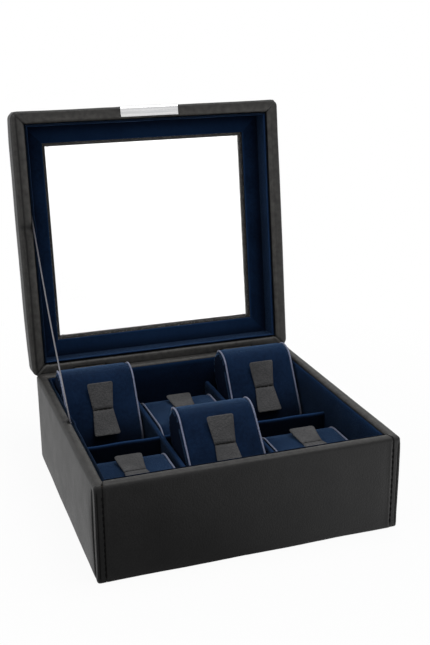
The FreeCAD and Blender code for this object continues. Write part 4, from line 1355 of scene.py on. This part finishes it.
# The faces take a copy of the velvet with more sheen, and the side panels one without, so that the panels
# look darker, as in shade.
face_velvet = velvet_finish("brushed_velvet", FACE_SHEEN)
shaded_panel_velvet = velvet_finish("shaded_panel_velvet", 0.0)
pad_low, pad_high = box_of("rear_middle_pad")
pad_half = (pad_high[0] - pad_low[0]) / 2
panel_x = pad_half - PANEL_DEPTH
y, z = hoop(np.linspace(0, 1, PAD_COLUMNS, endpoint=False), CUSHION_RADIUS - SEAM_DEPTH)
shell = on_grid(np.linspace(-1, 1, PAD_ROWS)[:, None] * panel_x, y, z) * SIMULATION_SCALE
face_heights = {}
for number, name in enumerate(CUSHIONS):
    piece = closed_skin(name + "_cushion", shell, navy_velvet)
    cloth_mesh = even_cloth(piece)
    spots = points_of(cloth_mesh) / simulated
    from_core = np.linalg.norm(out_of_core(spots), axis=1)
    from_seam = np.hypot(
        np.minimum(np.abs(spots[:, 0]) - panel_x, 0), np.minimum(from_core - CUSHION_RADIUS + SEAM_DEPTH, 0)
    )
    spots = spots + swell(piece, from_seam < SEAM_HOLD)
    spots[:, 0] = np.clip(spots[:, 0], -pad_half - PANEL_REACH, pad_half + PANEL_REACH)
    out = out_of_core(spots)
    out /= np.maximum(np.linalg.norm(out, axis=1, keepdims=True), 1e-6)
    puckers = PUCKER * ripple(spots * PUCKER_STRETCH, PUCKER_LENGTH, PUCKER_SEED + number)
    puckers = puckers * bell(from_seam, PUCKER_REACH) * (np.abs(spots[:, 0]) < panel_x - FACE_MARGIN)
    spots = spots + out * puckers[:, None]
    on_panel = np.abs(spots[:, 0]) > panel_x - PANEL_MARGIN
    under_tab = (np.hypot(spots[:, 0], spots[:, 1]) < TAB_SEAT_REACH) & (spots[:, 2] > 0)
    face_heights[name] = spots[under_tab, 2].mean()

    cloth_mesh.materials.clear()
    cloth_mesh.materials.append(face_velvet)
    cloth_mesh.materials.append(shaded_panel_velvet)
    cloth_mesh.polygons.foreach_set("material_index", faces_within(cloth_mesh, on_panel))
    centre, lean = cushion_frame(name)
    placed = spots @ lean.T + centre
    # Painted shade on the side panels, and lower down on the cushions that stand.
    shade = np.maximum(PANEL_SHADE * on_panel, low_shade(name, placed[:, 2]))
    kept = cloth_mesh.attributes.new("shade", "FLOAT", "POINT")
    kept.data.foreach_set("value", shade.astype(np.float32))
    cloth_mesh.vertices.foreach_set("co", (placed * MILLIMETRE).astype(np.float32).ravel())
    cloth_mesh.update()
    cloth_mesh.shade_smooth()
    smooth = piece.modifiers.new("smooth_cloth", "SUBSURF")
    smooth.levels = 1
    smooth.render_levels = 1
    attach(piece, "cushion_" + name)
    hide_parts(name + "_pad")

# The piping: a cord covered in grey satin, sewn into the seam round each side panel of each cushion. It
# stands up along the face, and is drawn down into the seam behind. On the cushions that stand it carries
# painted shade lower down.
CORD_RADIUS = 0.65
CORD_FROM_CORE = 16.25
CORD_INSET = 2.0
CORD_SINK = 1.4
CORD_SINK_INSET = 1.4
CORD_SINK_SLOPE = 1.5
CORD_ROWS = 120
CORD_COLUMNS = 12
CORD_DARK = (0.07, 0.085, 0.145, 1)
CORD_PALE = (0.17, 0.195, 0.30, 1)
CORD_SHADED = (0.006, 0.008, 0.016, 1)
SLANTS_PER_METRE = 1500

piping_satin, tree, shader = new_finish("grey_piping", Roughness=0.5, Sheen_Weight=0.25)
slants = clouds(tree, SLANTS_PER_METRE, stretch=(0.4, 1, 1))
colour = colour_between(tree, slants, CORD_DARK, CORD_PALE)
colour = colour_between(tree, marked(tree, "shade"), colour, CORD_SHADED)
tree.links.new(colour, shader.inputs["Base Color"])
emboss(tree, shader, slants, depth=0.00006)

cord_share = np.linspace(0, 1, CORD_ROWS)[:, None] % 1
cord_turn = np.linspace(0, 2 * math.pi, CORD_COLUMNS, endpoint=False)
behind = np.clip(0.5 - CORD_SINK_SLOPE * hoop(cord_share, 1.0)[1], 0, 1)
y, z = hoop(cord_share, CORD_FROM_CORE - CORD_SINK * behind + CORD_RADIUS * np.cos(cord_turn))
cord_x = box_of("rear_middle_piping")[1][0] - CORD_INSET - CORD_SINK_INSET * behind
cord_sides = np.array([-1, 1])[:, None, None]
cords = on_grid(cord_sides * cord_x + CORD_RADIUS * np.sin(cord_turn), y, z)
for name in CUSHIONS:
    centre, lean = cushion_frame(name)
    hoops = cords @ lean.T + centre
    # Painted shade lower down on the cushions that stand.
    marks = {"shade": low_shade(name, hoops[..., 2])}
    piece = closed_skin(name + "_piping_cords", hoops, piping_satin, marks)
    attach(piece, "cushion_" + name)
    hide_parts(name + "_piping")

# The tabs: a waisted piece of charcoal leather on each cushion's face, sewn down across its waist with black
# thread, with both ends springing up so that a strap slides under them. Painted shade runs along the sewn
# waist.
TAB_HALF_LENGTH = 20.0
TAB_END_HALF = 10.0
TAB_WAIST_HALF = 7.65
TAB_HALF_THICKNESS = 0.8
TAB_LIFT = 2.6
TAB_SPRING_POWER = 1.5
TAB_CORNER_RADIUS = 1.9
TAB_CORNER_SHARE = 0.94
TAB_EDGE_POWER = 10
TAB_END_THINNING = 0.85
TAB_END_REACH = 0.8
TAB_DIMPLE = 0.85
TAB_DIMPLE_REACH = 0.9
TAB_SEAM_REACH = 0.75
TAB_ROWS = 61
TAB_COLUMNS = 25
TAB_STITCHES = 4
TAB_STITCH = 2.7
TAB_STITCH_SPACING = 3.5
TAB_THREAD_RADIUS = 0.5
TAB_DARK = (0.038, 0.038, 0.040, 1)
TAB_PALE = (0.106, 0.105, 0.107, 1)
TAB_SEAM_SHADE = (0.005, 0.005, 0.005, 1)

charcoal_leather = leather_finish(
    "charcoal_leather", TAB_DARK, TAB_PALE, TAB_SEAM_SHADE, grain=750, depth=0.00030, roughness=0.62, specular=0.2
)
tab_y = TAB_HALF_LENGTH * np.sin(np.linspace(-1, 1, TAB_ROWS) * math.pi / 2)[:, None]
tab_across = np.sin(np.linspace(-1, 1, TAB_COLUMNS) * math.pi / 2)
tab_across = np.concatenate([tab_across, tab_across[-2:0:-1]])
tab_face = np.repeat([1.0, -1.0], [TAB_COLUMNS, TAB_COLUMNS - 2])
along_share = np.abs(tab_y) / TAB_HALF_LENGTH
from_end = TAB_HALF_LENGTH - np.abs(tab_y)
round_off = np.maximum(TAB_CORNER_RADIUS - from_end, 0)
corner_loss = TAB_CORNER_RADIUS - np.sqrt(TAB_CORNER_RADIUS**2 - round_off**2)
tab_half = TAB_WAIST_HALF + (TAB_END_HALF - TAB_WAIST_HALF) * along_share - corner_loss * TAB_CORNER_SHARE
end_thin = np.sqrt(1 - TAB_END_THINNING * np.clip(1 - from_end / TAB_END_REACH, 0, 1) ** 2)
tab_edge = np.sqrt(1 - np.abs(tab_across) ** TAB_EDGE_POWER) * end_thin
tab_spring = TAB_LIFT * along_share**TAB_SPRING_POWER
tab_sewn = TAB_DIMPLE * bell(tab_y, TAB_DIMPLE_REACH) * (tab_face > 0)
tab_z = tab_spring + TAB_HALF_THICKNESS * (1 + tab_face * tab_edge) - tab_sewn * tab_edge
tab_shape = on_grid(tab_half * tab_across, tab_y, tab_z)
# Painted shade along the sewn waist.
marks = {"stretch": bell(tab_y, TAB_SEAM_REACH) * (tab_face > 0)}
stitch_x = (np.arange(TAB_STITCHES) - (TAB_STITCHES - 1) / 2) * TAB_STITCH_SPACING
stitch_start = on_grid(stitch_x - TAB_STITCH / 2, 0, 2 * TAB_HALF_THICKNESS - TAB_DIMPLE)
stitch_end = stitch_start + (TAB_STITCH, 0, 0)
for name in CUSHIONS:
    centre, lean = cushion_frame(name)
    seat = np.array([0, 0, face_heights[name]])
    seated = [(spots + seat) @ lean.T + centre for spots in (tab_shape, stitch_start, stitch_end)]
    loops, starts, ends = seated
    piece = closed_skin(name + "_leather_tab", loops, charcoal_leather, marks)
    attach(piece, "cushion_" + name)
    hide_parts(name + "_tab")
    stitches = name + "_tab_stitches"
    piece = stitch_row(stitches, starts, ends, lean[:, 2], TAB_THREAD_RADIUS, 0.0)
    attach(piece, "cushion_" + name)
